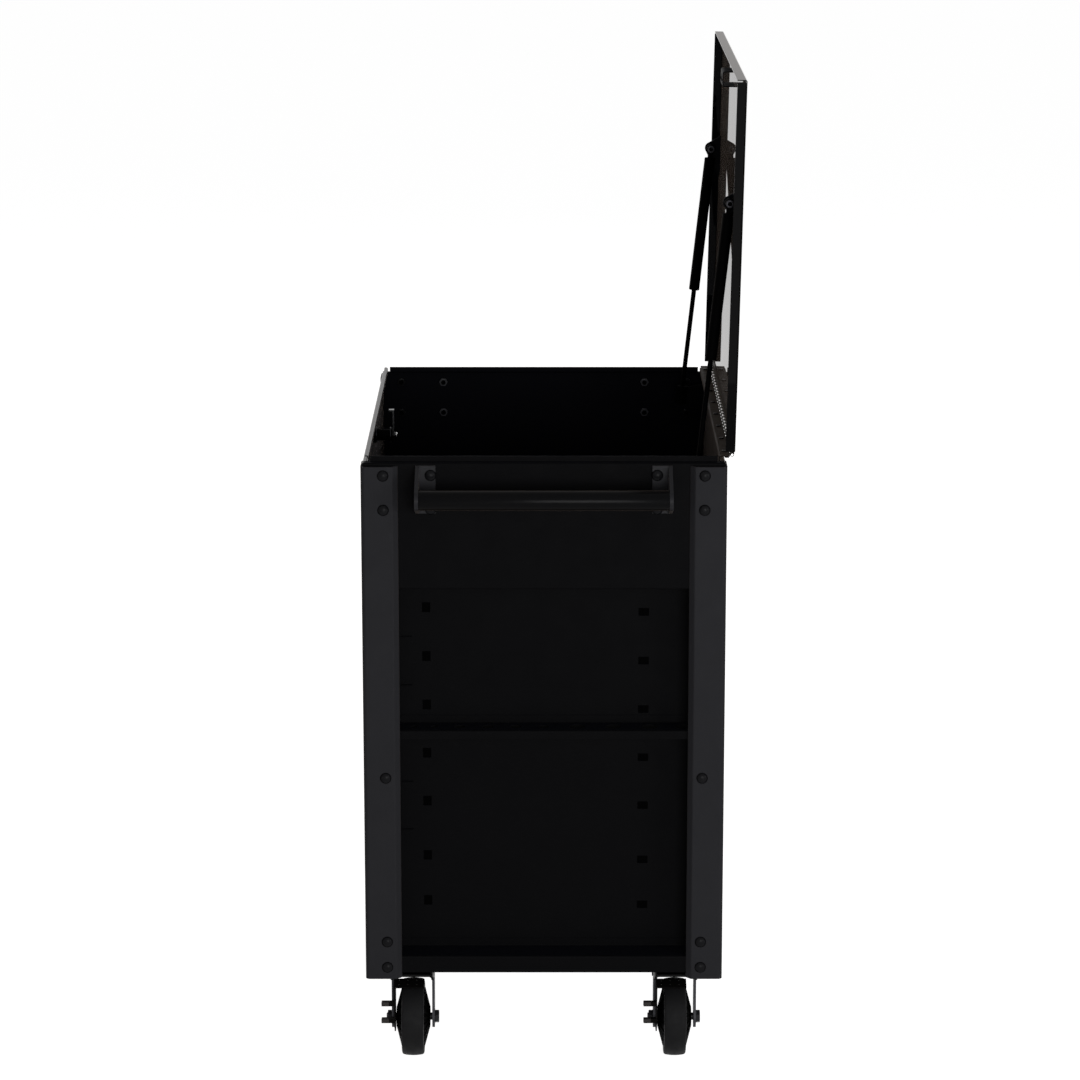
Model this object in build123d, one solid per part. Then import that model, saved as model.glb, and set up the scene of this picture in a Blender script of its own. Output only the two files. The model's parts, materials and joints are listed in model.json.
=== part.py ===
from build123d import *
import math
import os

# A rolling tool chest with a flip top. X runs along its length, the drawers face -Y, the open
# side pocket faces +X, and the wheels stand on Z = 0. The lid is modelled closed and then opened.

# Overall sizes, in millimetres
CABINET_LENGTH = 800.0
CABINET_DEPTH = 575.0
POST_HEIGHT = 845.0
RIM_OVER_POST = 14.0
WHEEL_DIAMETER = 127.0
CASTER_RISE = 26.0

# Sheet gauges and clearances
SHEET = 1.5
POST_SHEET = 2.5
PLATE = 2.5
FORK_SHEET = 4.0
BEND = 2.25
RUNNING = 0.06
CLEAR = 0.3
HOLE_CLEAR = 0.2

# Corner posts
POST_END_WIDTH = 58.0
POST_FRONT_WIDTH = 50.0
POST_STANDOFF = 9.0
POST_CORNER_BEND = 6.0
POST_LIP_RUN = 7.2
POST_LIP_BEND = 2.0
POST_BOLT_INSET = 35.3
POST_BOLT_DROPS = (14.0, 69.0)
POST_BOLT_RISES = (63.0, 20.0)
POST_BOLT_MIDDLE = 0.4

# Till walls and rim
TILL_WALL = 204.0
RIM_LIP = 9.0
RIM_STEP = 9.5
RIM_SIDE_STEP = 10.0
FRONT_RIM_FLANGE = 6.0
BACK_RIM_FLANGE = 15.0
WALL_FLANGE = 22.0
RIM_CORNER_GAP = 3.0
RIM_LID_GAP = 1.5

# Side pocket, its shelf and its tray
POCKET_DEPTH = 52.5
PARTITION_FLANGE = 28.0
TRAY_RISE = 36.0
TRAY_LIP = 28.0
SHELF_RISE = 377.0
SHELF_LIP = 14.4
SHELF_SETBACK = 5.0
UPSTAND = 12.5
SHELF_SMALL_HOLES = (-207.5, -175.0)
SHELF_MEDIUM_HOLES = (-135.0, -90.0, -45.5, -0.5)
SHELF_LARGE_HOLES = (53.0, 111.0, 169.5, 223.0)
SMALL_HOLE = 12.0
MEDIUM_HOLE = 18.0
LARGE_HOLE = 25.0

# Base
PAN_FLANGE = 26.5
RAIL_WIDTH = 79.0
RAIL_SETBACK = 21.5

# Drawers and slides
DEEP_DRAWER_HEIGHT = 200.0
SMALL_DRAWERS = 5
BAY_HEADROOM = 2.0
DRAWER_FLOOR_GAP = 7.0
DRAWER_GAP = 1.5
DRAWER_SETBACK = 15.5
DRAWER_SIDE_GAP = 2.0
DRAWER_SHEET = 1.2
DRAWER_BACK_GAP = 45.5
DRAWER_BOX_LIFT = 8.0
DRAWER_BOX_TOP_GAP = 15.0
PULL_REACH = 14.0
PULL_DROP = 11.0
SLIDE_WIDTH = 12.5
SLIDE_HEIGHT = 35.0
SLIDE_BACK_GAP = 46.8
SLIDE_LIP = 10.0
RUNNER_GAP = 2.0
DEEP_SLIDE_SHARES = (0.2575, 0.64)
RAIL_STRIP = 65.0
RAIL_HEM = 5.0
RAIL_DROP = 8.0
RAIL_TAB_INSET = 57.0
RAIL_TAB_WIDTH = 17.0
RAIL_TAB_REACH = 3.0
FRONT_SLOT_INSET = 97.0
FRONT_SLOT_SIZE = (13.0, 16.0)
REAR_SLOT_INSET = 125.7
REAR_SLOT_SIZE = (16.5, 12.5)
REAR_SLOT_DROP = 7.6

# Lid and hinge
LID_OPEN_ANGLE = 91.2
LID_FRONT_OVERHANG = 3.8
LID_REST_GAP = 1.0
LID_CORNER_GAP = 4.0
KNUCKLE_RADIUS = 3.0
HINGE_PIN_RADIUS = 1.6
LEAF = 1.2
LEAF_WIDTH = 18.0
HINGE_OVERHANG = 5.0
LID_REAR_GAP = 5.3
HINGE_END_GAP = 3.5
KNUCKLE_TARGET = 25.4
HINGE_SCREW_COUNT = 8
HINGE_SCREW_END = 38.7
HINGE_SCREW_INSET = 11.0
HINGE_SCREW_RADIUS = 2.0
HINGE_SCREW_HEAD = 1.8
HINGE_SCREW_HEAD_RADIUS = 4.0
HINGE_NUT = 3.0
HINGE_NUT_ACROSS = 7.0

# Gas struts: both ends are given from the hinge line, with the lid closed
STRUT_INSET = 55.0
STRUT_LID_REACH = 388.8
STRUT_LID_DROP = 14.1
STRUT_WALL_REACH = 53.8
STRUT_WALL_DROP = 47.0
TUBE_RADIUS = 9.0
TUBE_BORE = 7.2
TUBE_LENGTH = 232.0
TUBE_CAP = 8.0
GLAND = 12.0
ROD_RADIUS = 4.0
EYE_RADIUS = 8.0
EYE_HALF = 4.0
EYE_NECK = 16.0
STUD_RADIUS = 4.0
STUD_HEAD = 3.0
STUD_HEAD_RADIUS = 7.0
STUD_SOCKET = 3.8
STUD_COLLAR_RADIUS = 5.5
SOCKET_RADIUS = 10.0
SOCKET_LENGTH = 32.0
SOCKET_BELOW_PIVOT = 13.0
PISTON = 8.0
EAR_EDGE = 4.0
EAR_FOOT = 66.0
EAR_MARGIN = 2.0
EAR_FOOT_SHIFT = 14.0
EAR_FOOT_WIDTH = 22.0
BRACKET_HEIGHT = 40.0
BRACKET_FOOT = 30.0

# Lock and strike
LOCK_DROP = 44.0
LOCK_RADIUS = 9.5
PLUG_RADIUS = 6.0
LOCK_FLANGE = 2.4
LOCK_RIM = 2.0
LOCK_LENGTH = 32.5
LOCK_NUT_ACROSS = 24.0
LOCK_NUT = 4.0
KEYWAY = (2.0, 8.0, 5.0)
CAM_TURN = 25.0
CAM_REACH = 43.0
CAM_WIDTH = 11.0
CAM_HOOK = 6.0
CAM_HOOK_HEIGHT = 3.0
CAM_SCREW_RADIUS = 4.0
CAM_SCREW = 3.0
CAM_SLOT_CLEAR = 2.0
STRIKE_FRONT_INSET = 26.0
STRIKE_DEPTH = 23.5
STRIKE_WIDTH = 64.0
STRIKE_BELOW_LID = 4.5

# Handles
HANDLE_DROP = 55.2
HANDLE_REACH = 52.0
HANDLE_TUBE_RADIUS = 16.0
HANDLE_TUBE_WALL = 2.0
HANDLE_TUBE_DROP = 2.5
HANDLE_HALF_SPAN = 195.5
HANDLE_PLATE = 6.0
HANDLE_FOOT_HEIGHT = 76.5
HANDLE_FOOT_RISE = 4.0
HANDLE_FOOT_WIDTH = 25.5
HANDLE_FOOT_SHEET = 3.5
HANDLE_BOLT_INSET = 17.7
HANDLE_BOLT_RISE = 27.0

# Bolts
BOLT_RADIUS = 4.0
BOLT_HEAD_RADIUS = 9.1
BOLT_HEAD_HEIGHT = 4.6
NUT_ACROSS = 13.0
NUT_HEIGHT = 6.0
BOLT_TAIL = 2.0
PLATE_BOLT_RADIUS = 4.0
PLATE_BOLT_HEAD = 5.3

# Casters
CASTER_INSET = 74.0
TREAD_WIDTH = 36.0
WHEEL_CROWN = 2.2
WHEEL_SHOULDER = 3.0
RIM_BAND = 14.0
RIM_FLARE = 2.0
HUB_WIDTH = 55.0
HUB_RADIUS = 17.0
AXLE_RADIUS = 6.0
AXLE_ACROSS = 19.0
AXLE_HEAD = 7.0
FORK_WIDTH = 70.0
FORK_CROWN = 100.0
FORK_SKIRT = 9.0
FORK_FOOT_RADIUS = 18.0
LEG_FRONT = 12.0
LEG_BACK = 20.0
LEG_FLARE = 38.0
CASTER_BOLT_X = 25.0
CASTER_BOLT_Y = 20.0
SWIVEL_TRAIL = 35.0
SWIVEL_PLATE_LENGTH = 100.0
SWIVEL_PLATE_WIDTH = 90.0
SWIVEL_PLATE_CORNER = 8.0
SWIVEL_BOLT_INSET = 12.0
SWIVEL_CROWN_DROP = 15.5
SWIVEL_CROWN = 60.0
RACE_RADIUS = 27.0
KINGPIN_RADIUS = 8.0
KINGPIN_HEAD_RADIUS = 12.0
KINGPIN_HEAD = 4.0

# Brake lever, beside the wheel inside its fork
LEVER_SHEET = 2.0
LEVER_PIVOT_X = -5.5
LEVER_PIVOT_DROP = 16.0
LEVER_RIVET_RADIUS = 3.5
LEVER_RIVET_HEAD = 2.0
LEVER_EDGE = 4.0
LEVER_SWING = 3.8
LEVER_SLOT_CLEAR = 1.0
SHOE_GAP = 3.0
SHOE_FROM = 63.0
SHOE_TO = 83.0
SHOE_REACH = 18.5
TAB_REACH = 16.0
TAB_DEPTH = 9.0
TAB_SHEET = 7.0
TAB_CLEAR = 1.0
TAB_SHARE = 0.363

# Levels and faces worked out from the sizes above
POST_FOOT = WHEEL_DIAMETER + CASTER_RISE
POST_TOP = POST_FOOT + POST_HEIGHT
RIM_TOP = POST_TOP + RIM_OVER_POST
LEDGE_TOP = RIM_TOP - RIM_LIP
WALL_FOOT = LEDGE_TOP - TILL_WALL
TILL_FLOOR_UNDER = WALL_FOOT + SHEET
HALF_SHEET = SHEET / 2
POST_X = CABINET_LENGTH / 2
POST_Y = CABINET_DEPTH / 2
END_FACE = POST_X - POST_STANDOFF
END_INNER = END_FACE - SHEET
SIDE_FACE = POST_Y - POST_SHEET
SIDE_INNER = SIDE_FACE - SHEET
RIM_X = END_FACE - RIM_STEP
RIM_INNER_Y = SIDE_FACE - RIM_SIDE_STEP
PARTITION_FACE = END_FACE - POCKET_DEPTH
BAY_X = PARTITION_FACE - SHEET
TRAY_TOP = POST_FOOT + TRAY_RISE
SHELF_TOP = TRAY_TOP + SHELF_RISE
PAN_TOP = TRAY_TOP - SHEET
PAN_UNDER = PAN_TOP - SHEET
BAY_TOP = WALL_FOOT - BAY_HEADROOM
BAY_BOTTOM = PAN_TOP + DRAWER_FLOOR_GAP
DEEP_DRAWER_TOP = BAY_BOTTOM + DEEP_DRAWER_HEIGHT
DRAWER_PITCH = (BAY_TOP - DEEP_DRAWER_TOP) / SMALL_DRAWERS
HINGE_Y = RIM_INNER_Y + BACK_RIM_FLANGE + HINGE_OVERHANG
HINGE_Z = RIM_TOP + KNUCKLE_RADIUS
HINGE_LENGTH = 2 * (END_INNER - HINGE_END_GAP)
KNUCKLE_COUNT = round(HINGE_LENGTH / KNUCKLE_TARGET)
KNUCKLE_PITCH = HINGE_LENGTH / KNUCKLE_COUNT
HINGE_SCREW_PITCH = 2 * (END_INNER - HINGE_SCREW_END) / (HINGE_SCREW_COUNT - 1)
LID_UNDER = HINGE_Z + KNUCKLE_RADIUS
LID_TOP = LID_UNDER + SHEET
LID_EDGE = LEDGE_TOP + LID_REST_GAP
LID_FRONT = -(POST_Y + LID_FRONT_OVERHANG)
LID_REAR = HINGE_Y - LID_REAR_GAP
STRUT_X = END_FACE - STRUT_INSET
HANDLE_BOLT_Y = HANDLE_HALF_SPAN - HANDLE_BOLT_INSET
WHEEL_RADIUS = WHEEL_DIAMETER / 2
CASTER_X = END_FACE - RAIL_SETBACK - RAIL_WIDTH / 2
CASTER_Y = POST_Y - CASTER_INSET
CASTER_TOP = POST_FOOT
FORK_TOP = CASTER_TOP - WHEEL_RADIUS
FORK_INNER = FORK_WIDTH / 2 - FORK_SHEET
LEVER_PIVOT = (LEVER_PIVOT_X, FORK_TOP - LEVER_PIVOT_DROP)
FRONT_SLOT = (-SIDE_FACE + FRONT_SLOT_INSET, *FRONT_SLOT_SIZE)
REAR_SLOT = (SIDE_FACE - REAR_SLOT_INSET, *REAR_SLOT_SIZE)
RAIL_TAB = (-SIDE_FACE + RAIL_TAB_INSET, -SIDE_FACE + RAIL_TAB_INSET + RAIL_TAB_WIDTH)
HINGE_LINE = Axis((0, HINGE_Y, HINGE_Z), (1, 0, 0))

# The origin is on the floor under the middle of the open chest's box
LID_BACK = (HINGE_Y + (LID_FRONT - HINGE_Y) * math.cos(math.radians(LID_OPEN_ANGLE))
            + (LID_TOP - HINGE_Z) * math.sin(math.radians(LID_OPEN_ANGLE)))
ORIGIN_SHIFT = (POST_Y - LID_BACK) / 2


# Shape helpers
def block(x0, x1, y0, y1, z0, z1):
    """A box between two corners."""
    middle = Pos((x0 + x1) / 2, (y0 + y1) / 2, (z0 + z1) / 2)
    return middle * Box(abs(x1 - x0), abs(y1 - y0), abs(z1 - z0))


def along_x(section, x0, x1):
    """A section drawn in Y and Z, run along X."""
    return extrude(Plane.YZ.offset(x0) * section, amount=x1 - x0)


def along_y(section, y0, y1):
    """A section drawn in X and Z, run along Y."""
    return extrude(Plane.XZ.offset(-y1) * section, amount=y1 - y0)


def along_z(section, z0, z1):
    """A section drawn in X and Y, run along Z."""
    return extrude(Plane.XY.offset(z0) * section, amount=z1 - z0)


def folded(points, thickness=SHEET, bend=BEND):
    """The section of a bent sheet whose middle line passes through the points."""
    return trace(FilletPolyline(*points, radius=bend), line_width=thickness)


def bar_x(radius, x0, x1, y, z):
    return Pos((x0 + x1) / 2, y, z) * Rot(0, 90, 0) * Cylinder(radius, abs(x1 - x0))


def bar_y(radius, x, y0, y1, z):
    return Pos(x, (y0 + y1) / 2, z) * Rot(90, 0, 0) * Cylinder(radius, abs(y1 - y0))


def bar_z(radius, x, y, z0, z1):
    return Pos(x, y, (z0 + z1) / 2) * Cylinder(radius, abs(z1 - z0))


def hexagon(across, height):
    """A hexagonal prism standing on Z = 0."""
    return extrude(RegularPolygon(across / 2, 6, major_radius=False), amount=height)


def carriage_bolt(length):
    """A domed bolt along Z: its head stands on Z = 0 and its shank hangs below."""
    crown = ThreePointArc((0, BOLT_HEAD_HEIGHT),
                          (BOLT_HEAD_RADIUS * 0.66, BOLT_HEAD_HEIGHT * 0.64),
                          (BOLT_HEAD_RADIUS, 0.6))
    side = Polyline((BOLT_HEAD_RADIUS, 0.6), (BOLT_HEAD_RADIUS, 0), (0, 0), (0, BOLT_HEAD_HEIGHT))
    dome = revolve(Plane.XZ * make_face(crown + side), axis=Axis.Z)
    return dome + bar_z(BOLT_RADIUS, 0, 0, -length, 0)


def nut(across=NUT_ACROSS, height=NUT_HEIGHT, bore=BOLT_RADIUS):
    """A hexagon nut standing on Z = 0."""
    return hexagon(across, height) - bar_z(bore + RUNNING, 0, 0, -1, height + 1)


def hex_bolt(length, across, head, radius):
    """A hexagon bolt along Z: its head hangs under Z = 0 and its shank stands above."""
    return Pos(0, 0, -head) * hexagon(across, head) + bar_z(radius, 0, 0, 0, length)


def facing(side):
    """Turns +Z to point out of the right end (+1) or the left end (-1)."""
    return Rot(0, 90 * side, 0)


def mirrored_x(shape):
    return mirror(shape, about=Plane.YZ)


def mirrored_y(shape):
    return mirror(shape, about=Plane.XZ)


def opened(shape):
    """Swings a piece of the closed lid to the open rest position."""
    return shape.rotate(HINGE_LINE, -LID_OPEN_ANGLE)


def opened_point(y, z):
    """Where a point of the closed lid goes when the lid is open."""
    turn = math.radians(LID_OPEN_ANGLE)
    dy = y - HINGE_Y
    dz = z - HINGE_Z
    return (HINGE_Y + dy * math.cos(turn) + dz * math.sin(turn),
            HINGE_Z - dy * math.sin(turn) + dz * math.cos(turn))


def save(node, *shapes):
    """Writes one node, moved so that the origin is under the middle of the open chest."""
    solids = [solid for shape in shapes for solid in shape.solids()]
    placed = [Pos(0, ORIGIN_SHIFT, 0) * solid for solid in solids]
    shape = placed[0] if len(placed) == 1 else Compound(children=placed)
    export_step(shape, f"parts/{node}.step")


# Corner posts
BOLT_LEVELS = [POST_TOP - drop for drop in POST_BOLT_DROPS]
BOLT_LEVELS.append(POST_FOOT + POST_BOLT_MIDDLE * POST_HEIGHT)
BOLT_LEVELS.extend(POST_FOOT + rise for rise in POST_BOLT_RISES)
BOLT_Y = POST_Y - POST_BOLT_INSET


def corner_post():
    """The front right post: a bent angle with a sloping lip that meets the end wall."""
    half = POST_SHEET / 2
    lip_y = -POST_Y + POST_END_WIDTH - half
    slope = POST_LIP_RUN / (POST_X - half - END_FACE)
    line = FilletPolyline((END_FACE - POST_SHEET, lip_y + slope * POST_SHEET),
                          (POST_X - half, lip_y - POST_LIP_RUN), (POST_X - half, -POST_Y + half),
                          (POST_X - POST_FRONT_WIDTH, -POST_Y + half),
                          radius=[POST_LIP_BEND, POST_CORNER_BEND])
    post = along_z(trace(line, line_width=POST_SHEET), POST_FOOT, POST_TOP)
    post -= block(END_FACE - 3 * POST_SHEET, END_FACE, lip_y - 3 * POST_SHEET, lip_y + 4 * POST_SHEET,
                  POST_FOOT - 1, POST_TOP + 1)
    for level in BOLT_LEVELS:
        post -= bar_x(BOLT_RADIUS + HOLE_CLEAR, END_FACE, POST_X + 1, -BOLT_Y, level)
    return post


def build_posts():
    post = corner_post()
    save("front_right_post", post)
    save("rear_right_post", mirrored_y(post))
    save("front_left_post", mirrored_x(post))
    save("rear_left_post", mirrored_x(mirrored_y(post)))


def wall_behind_post(side, level):
    """Says whether a sheet stands behind a post bolt, for the nut to bear on."""
    if level > WALL_FOOT or side < 0:
        return True
    return TRAY_TOP - TRAY_LIP < level < TRAY_TOP


def build_post_bolts():
    pieces = []
    for side in (1, -1):
        for y in (-BOLT_Y, BOLT_Y):
            for level in BOLT_LEVELS:
                seat = END_INNER if wall_behind_post(side, level) else POST_X - POST_SHEET
                length = POST_X - seat + NUT_HEIGHT + BOLT_TAIL
                pieces.append(Pos(side * POST_X, y, level) * facing(side) * carriage_bolt(length))
                pieces.append(Pos(side * (seat - NUT_HEIGHT), y, level) * facing(side) * nut())
    save("post_bolts", *pieces)


# Till: end walls, front wall, back panel and floor
HANDLE_Z = RIM_TOP - HANDLE_DROP
HANDLE_BOLT_LEVELS = (HANDLE_Z - HANDLE_BOLT_RISE, HANDLE_Z + HANDLE_BOLT_RISE)


def end_wall():
    """The right till wall: a foot flange, a tall face, and a rim that is stepped in for the lid."""
    face = END_FACE - HALF_SHEET
    rim = RIM_X - HALF_SHEET
    section = folded([(END_FACE - WALL_FLANGE, WALL_FOOT + HALF_SHEET), (face, WALL_FOOT + HALF_SHEET),
                      (face, LEDGE_TOP - HALF_SHEET), (rim, LEDGE_TOP - HALF_SHEET), (rim, RIM_TOP)])
    wall = along_y(section, -SIDE_FACE, SIDE_FACE)
    for side in (-1, 1):
        inner = side * SIDE_INNER
        lip_end = side * (RIM_INNER_Y - RIM_CORNER_GAP)
        outside = side * (SIDE_FACE + 1)
        wall -= block(0, END_INNER, inner, outside, WALL_FOOT - 1, RIM_TOP + 1)
        wall -= block(0, END_INNER, lip_end, outside, LEDGE_TOP, RIM_TOP + 1)
        for level in BOLT_LEVELS:
            if level > WALL_FOOT:
                wall -= bar_x(BOLT_RADIUS + HOLE_CLEAR, END_INNER - 1, END_FACE + 1, side * BOLT_Y, level)
        for level in HANDLE_BOLT_LEVELS:
            wall -= bar_x(BOLT_RADIUS + HOLE_CLEAR, END_INNER - 1, END_FACE + 1, side * HANDLE_BOLT_Y, level)
    return wall


LOCK_Z = RIM_TOP - LOCK_DROP
RIM_END_X = RIM_X - SHEET - RIM_CORNER_GAP
FLANGE_END_X = END_FACE - WALL_FLANGE


def front_wall():
    """The till's front: a foot flange, a tall face, the stepped rim and its turned-out top."""
    face = -SIDE_FACE + HALF_SHEET
    rim = -RIM_INNER_Y - HALF_SHEET
    top = RIM_TOP - HALF_SHEET
    section = folded([(-SIDE_FACE + WALL_FLANGE, WALL_FOOT + HALF_SHEET), (face, WALL_FOOT + HALF_SHEET),
                      (face, LEDGE_TOP - HALF_SHEET), (rim, LEDGE_TOP - HALF_SHEET), (rim, top),
                      (-RIM_INNER_Y - FRONT_RIM_FLANGE, top)])
    wall = along_x(section, -END_INNER, END_INNER)
    for side in (-1, 1):
        wall -= block(side * RIM_END_X, side * END_FACE, -SIDE_INNER, 0, LEDGE_TOP - 2 * SHEET, RIM_TOP + 1)
        wall -= block(side * RIM_END_X, side * END_FACE, -SIDE_FACE - 1, 0, LEDGE_TOP, RIM_TOP + 1)
        wall -= block(side * FLANGE_END_X, side * END_FACE, -SIDE_INNER, 0,
                      WALL_FOOT - 1, WALL_FOOT + 3 * SHEET)
    return wall - bar_y(LOCK_RADIUS + HOLE_CLEAR, 0, -SIDE_FACE - 1, -SIDE_INNER + 1, LOCK_Z)


HINGE_SCREW_X = [(i - (HINGE_SCREW_COUNT - 1) / 2) * HINGE_SCREW_PITCH for i in range(HINGE_SCREW_COUNT)]
HINGE_SCREW_Y = HINGE_Y - HINGE_SCREW_INSET


def back_panel():
    """One tall back sheet whose stepped rim turns out to carry the hinge."""
    face = SIDE_FACE - HALF_SHEET
    rim = RIM_INNER_Y + HALF_SHEET
    top = RIM_TOP - HALF_SHEET
    section = folded([(face, TRAY_TOP - TRAY_LIP), (face, LEDGE_TOP - HALF_SHEET),
                      (rim, LEDGE_TOP - HALF_SHEET), (rim, top), (RIM_INNER_Y + BACK_RIM_FLANGE, top)])
    wall = along_x(section, -END_INNER, END_INNER)
    for side in (-1, 1):
        wall -= block(side * RIM_END_X, side * END_FACE, 0, SIDE_INNER, LEDGE_TOP - 2 * SHEET, RIM_TOP + 1)
        wall -= block(side * RIM_END_X, side * END_FACE, 0, SIDE_FACE + 1, LEDGE_TOP, LEDGE_TOP + RIM_LIP / 2)
        wall -= block(side * RIM_END_X, side * END_FACE, 0, RIM_INNER_Y + 2 * SHEET, LEDGE_TOP, RIM_TOP + 1)
        wall -= block(side * (END_INNER - RIM_LID_GAP), side * END_FACE, 0, HINGE_Y, LEDGE_TOP, RIM_TOP + 1)
    for x in HINGE_SCREW_X:
        wall -= bar_z(HINGE_SCREW_RADIUS + HOLE_CLEAR, x, HINGE_SCREW_Y, RIM_TOP - 2 * SHEET, RIM_TOP + 1)
    return wall


def build_till():
    wall = end_wall()
    save("right_end_wall", wall)
    save("left_end_wall", mirrored_x(wall))
    save("front_wall", front_wall())
    save("back_panel", back_panel())
    save("till_floor", block(-END_INNER + BEND, END_INNER - BEND, -SIDE_INNER + BEND, SIDE_INNER,
                             TILL_FLOOR_UNDER, TILL_FLOOR_UNDER + SHEET))


# Drawer places
DRAWER_TOPS = [BAY_TOP - i * DRAWER_PITCH for i in range(SMALL_DRAWERS + 1)]
DRAWER_BOTTOMS = DRAWER_TOPS[1:] + [BAY_BOTTOM]
SMALL_SLIDES = [top - DRAWER_PITCH / 2 for top in DRAWER_TOPS[:-1]]
DEEP_SLIDES = [DEEP_DRAWER_TOP - share * DEEP_DRAWER_HEIGHT for share in DEEP_SLIDE_SHARES]
SLIDE_LEVELS = SMALL_SLIDES + DEEP_SLIDES
RAIL_LEVELS = [top - RAIL_DROP for top in DRAWER_TOPS[1:]]
DRAWER_FRONT = -POST_Y + DRAWER_SETBACK
RAIL_FRONT = DRAWER_FRONT + DRAWER_SHEET + DRAWER_GAP
SLIDE_FRONT = RAIL_FRONT + RAIL_HEM
SLIDE_LENGTH = SIDE_INNER - SLIDE_BACK_GAP - SLIDE_FRONT
DRAWER_BOX_LENGTH = SIDE_INNER - DRAWER_BACK_GAP - DRAWER_FRONT


# Partitions, side panel, tray and shelf
def partition():
    """The right wall of the drawer bay, slotted for the slides, with a flange at front and back."""
    web = BAY_X + HALF_SHEET
    front = -SIDE_FACE + HALF_SHEET
    back = SIDE_INNER - HALF_SHEET
    reach = BAY_X + PARTITION_FLANGE
    section = folded([(reach, front), (web, front), (web, back), (reach, back)])
    wall = along_z(section, PAN_TOP, WALL_FOOT)
    for level in SLIDE_LEVELS:
        for drop, (y, width, height) in ((0, FRONT_SLOT), (REAR_SLOT_DROP, REAR_SLOT)):
            z = level - drop
            wall -= block(BAY_X - 1, PARTITION_FACE + 1, y - width / 2, y + width / 2,
                          z - height / 2, z + height / 2)
    for level in RAIL_LEVELS:
        slit = SHEET / 2 + HOLE_CLEAR
        wall -= block(BAY_X - 1, PARTITION_FACE + 1, RAIL_TAB[0] - HOLE_CLEAR, RAIL_TAB[1] + HOLE_CLEAR,
                      level - slit, level + slit)
    return wall


def pocket_ledge(top, front, lip):
    """A ledge across the pocket: an upstand on the partition, a floor and a lip turned down."""
    back = PARTITION_FACE + HALF_SHEET
    section = folded([(back, top + UPSTAND), (back, top - HALF_SHEET), (front - HALF_SHEET, top - HALF_SHEET),
                      (front - HALF_SHEET, top - lip)])
    return along_y(section, -SIDE_INNER + BEND, SIDE_INNER - SHEET - BEND)


def side_shelf():
    front = END_FACE - SHELF_SETBACK
    shelf = pocket_ledge(SHELF_TOP, front, SHELF_LIP)
    middle = (PARTITION_FACE + SHEET + front) / 2
    for places, size in ((SHELF_SMALL_HOLES, SMALL_HOLE), (SHELF_MEDIUM_HOLES, MEDIUM_HOLE),
                         (SHELF_LARGE_HOLES, LARGE_HOLE)):
        for y in places:
            shelf -= bar_z(size / 2, middle, y, SHELF_TOP - 2 * SHEET, SHELF_TOP + SHEET)
    return shelf


def side_tray():
    tray = pocket_ledge(TRAY_TOP, END_FACE, TRAY_LIP)
    for y in (-BOLT_Y, BOLT_Y):
        for level in BOLT_LEVELS:
            if wall_behind_post(1, level) and level < WALL_FOOT:
                tray -= bar_x(BOLT_RADIUS + HOLE_CLEAR, END_INNER - 1, END_FACE + 1, y, level)
    return tray


def left_side_panel():
    """The plain cover of the far end, flush with the till wall above it."""
    panel = block(-END_FACE, -END_INNER, -SIDE_FACE, SIDE_FACE, TRAY_TOP - TRAY_LIP, WALL_FOOT)
    for y in (-BOLT_Y, BOLT_Y):
        for level in BOLT_LEVELS:
            if level < WALL_FOOT:
                panel -= bar_x(BOLT_RADIUS + HOLE_CLEAR, -END_FACE - 1, -END_INNER + 1, y, level)
    return panel


def build_pocket():
    wall = partition()
    save("right_partition", wall)
    save("left_partition", mirrored_x(wall))
    save("side_shelf", side_shelf())
    save("side_tray", side_tray())
    save("left_side_panel", left_side_panel())


# Base: the pan under the drawers, and the rails that carry the casters
def bottom_pan():
    foot = PAN_TOP - PAN_FLANGE
    middle = PAN_TOP - HALF_SHEET
    across = folded([(-SIDE_FACE + HALF_SHEET, foot), (-SIDE_FACE + HALF_SHEET, middle),
                     (SIDE_INNER - HALF_SHEET, middle), (SIDE_INNER - HALF_SHEET, foot)])
    length = folded([(-END_INNER + HALF_SHEET, foot), (-END_INNER + HALF_SHEET, middle),
                     (END_INNER - HALF_SHEET, middle), (END_INNER - HALF_SHEET, foot)])
    corner = BEND + SHEET
    pan = along_x(across, -END_INNER + corner, END_INNER - corner)
    pan += along_y(length, -SIDE_FACE + corner, SIDE_INNER - corner)
    for side in (-1, 1):
        for y in (-BOLT_Y, BOLT_Y):
            for level in BOLT_LEVELS:
                if foot - NUT_ACROSS < level < PAN_TOP:
                    pan -= bar_x(NUT_ACROSS * 0.62, side * (END_INNER - 2 * SHEET), side * END_FACE, y, level)
    return pan


def caster_offsets(swivel):
    """The four bolt places of a caster, from its middle."""
    dx = CASTER_BOLT_X
    dy = SWIVEL_PLATE_WIDTH / 2 - SWIVEL_BOLT_INSET if swivel else CASTER_BOLT_Y
    return [(sx * dx, sy * dy) for sx in (-1, 1) for sy in (-1, 1)]


def base_rail(side):
    """A channel across the underside, above one pair of casters."""
    x0 = END_FACE - RAIL_SETBACK - RAIL_WIDTH
    x1 = END_FACE - RAIL_SETBACK
    half = PLATE / 2
    section = folded([(x0 + half, PAN_UNDER), (x0 + half, POST_FOOT + half), (x1 - half, POST_FOOT + half),
                      (x1 - half, PAN_UNDER)], PLATE, PLATE * 1.5)
    rail = along_y(section, -SIDE_INNER + BEND, SIDE_INNER - SHEET - BEND)
    if side < 0:
        rail = mirrored_x(rail)
    for y in (-CASTER_Y, CASTER_Y):
        for dx, dy in caster_offsets(side < 0):
            rail -= bar_z(PLATE_BOLT_RADIUS + HOLE_CLEAR, side * CASTER_X + dx, y + dy,
                          POST_FOOT - 1, POST_FOOT + PLATE + 1)
    return rail


def build_base():
    save("bottom_pan", bottom_pan())
    save("base_rails", base_rail(1), base_rail(-1))


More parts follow.
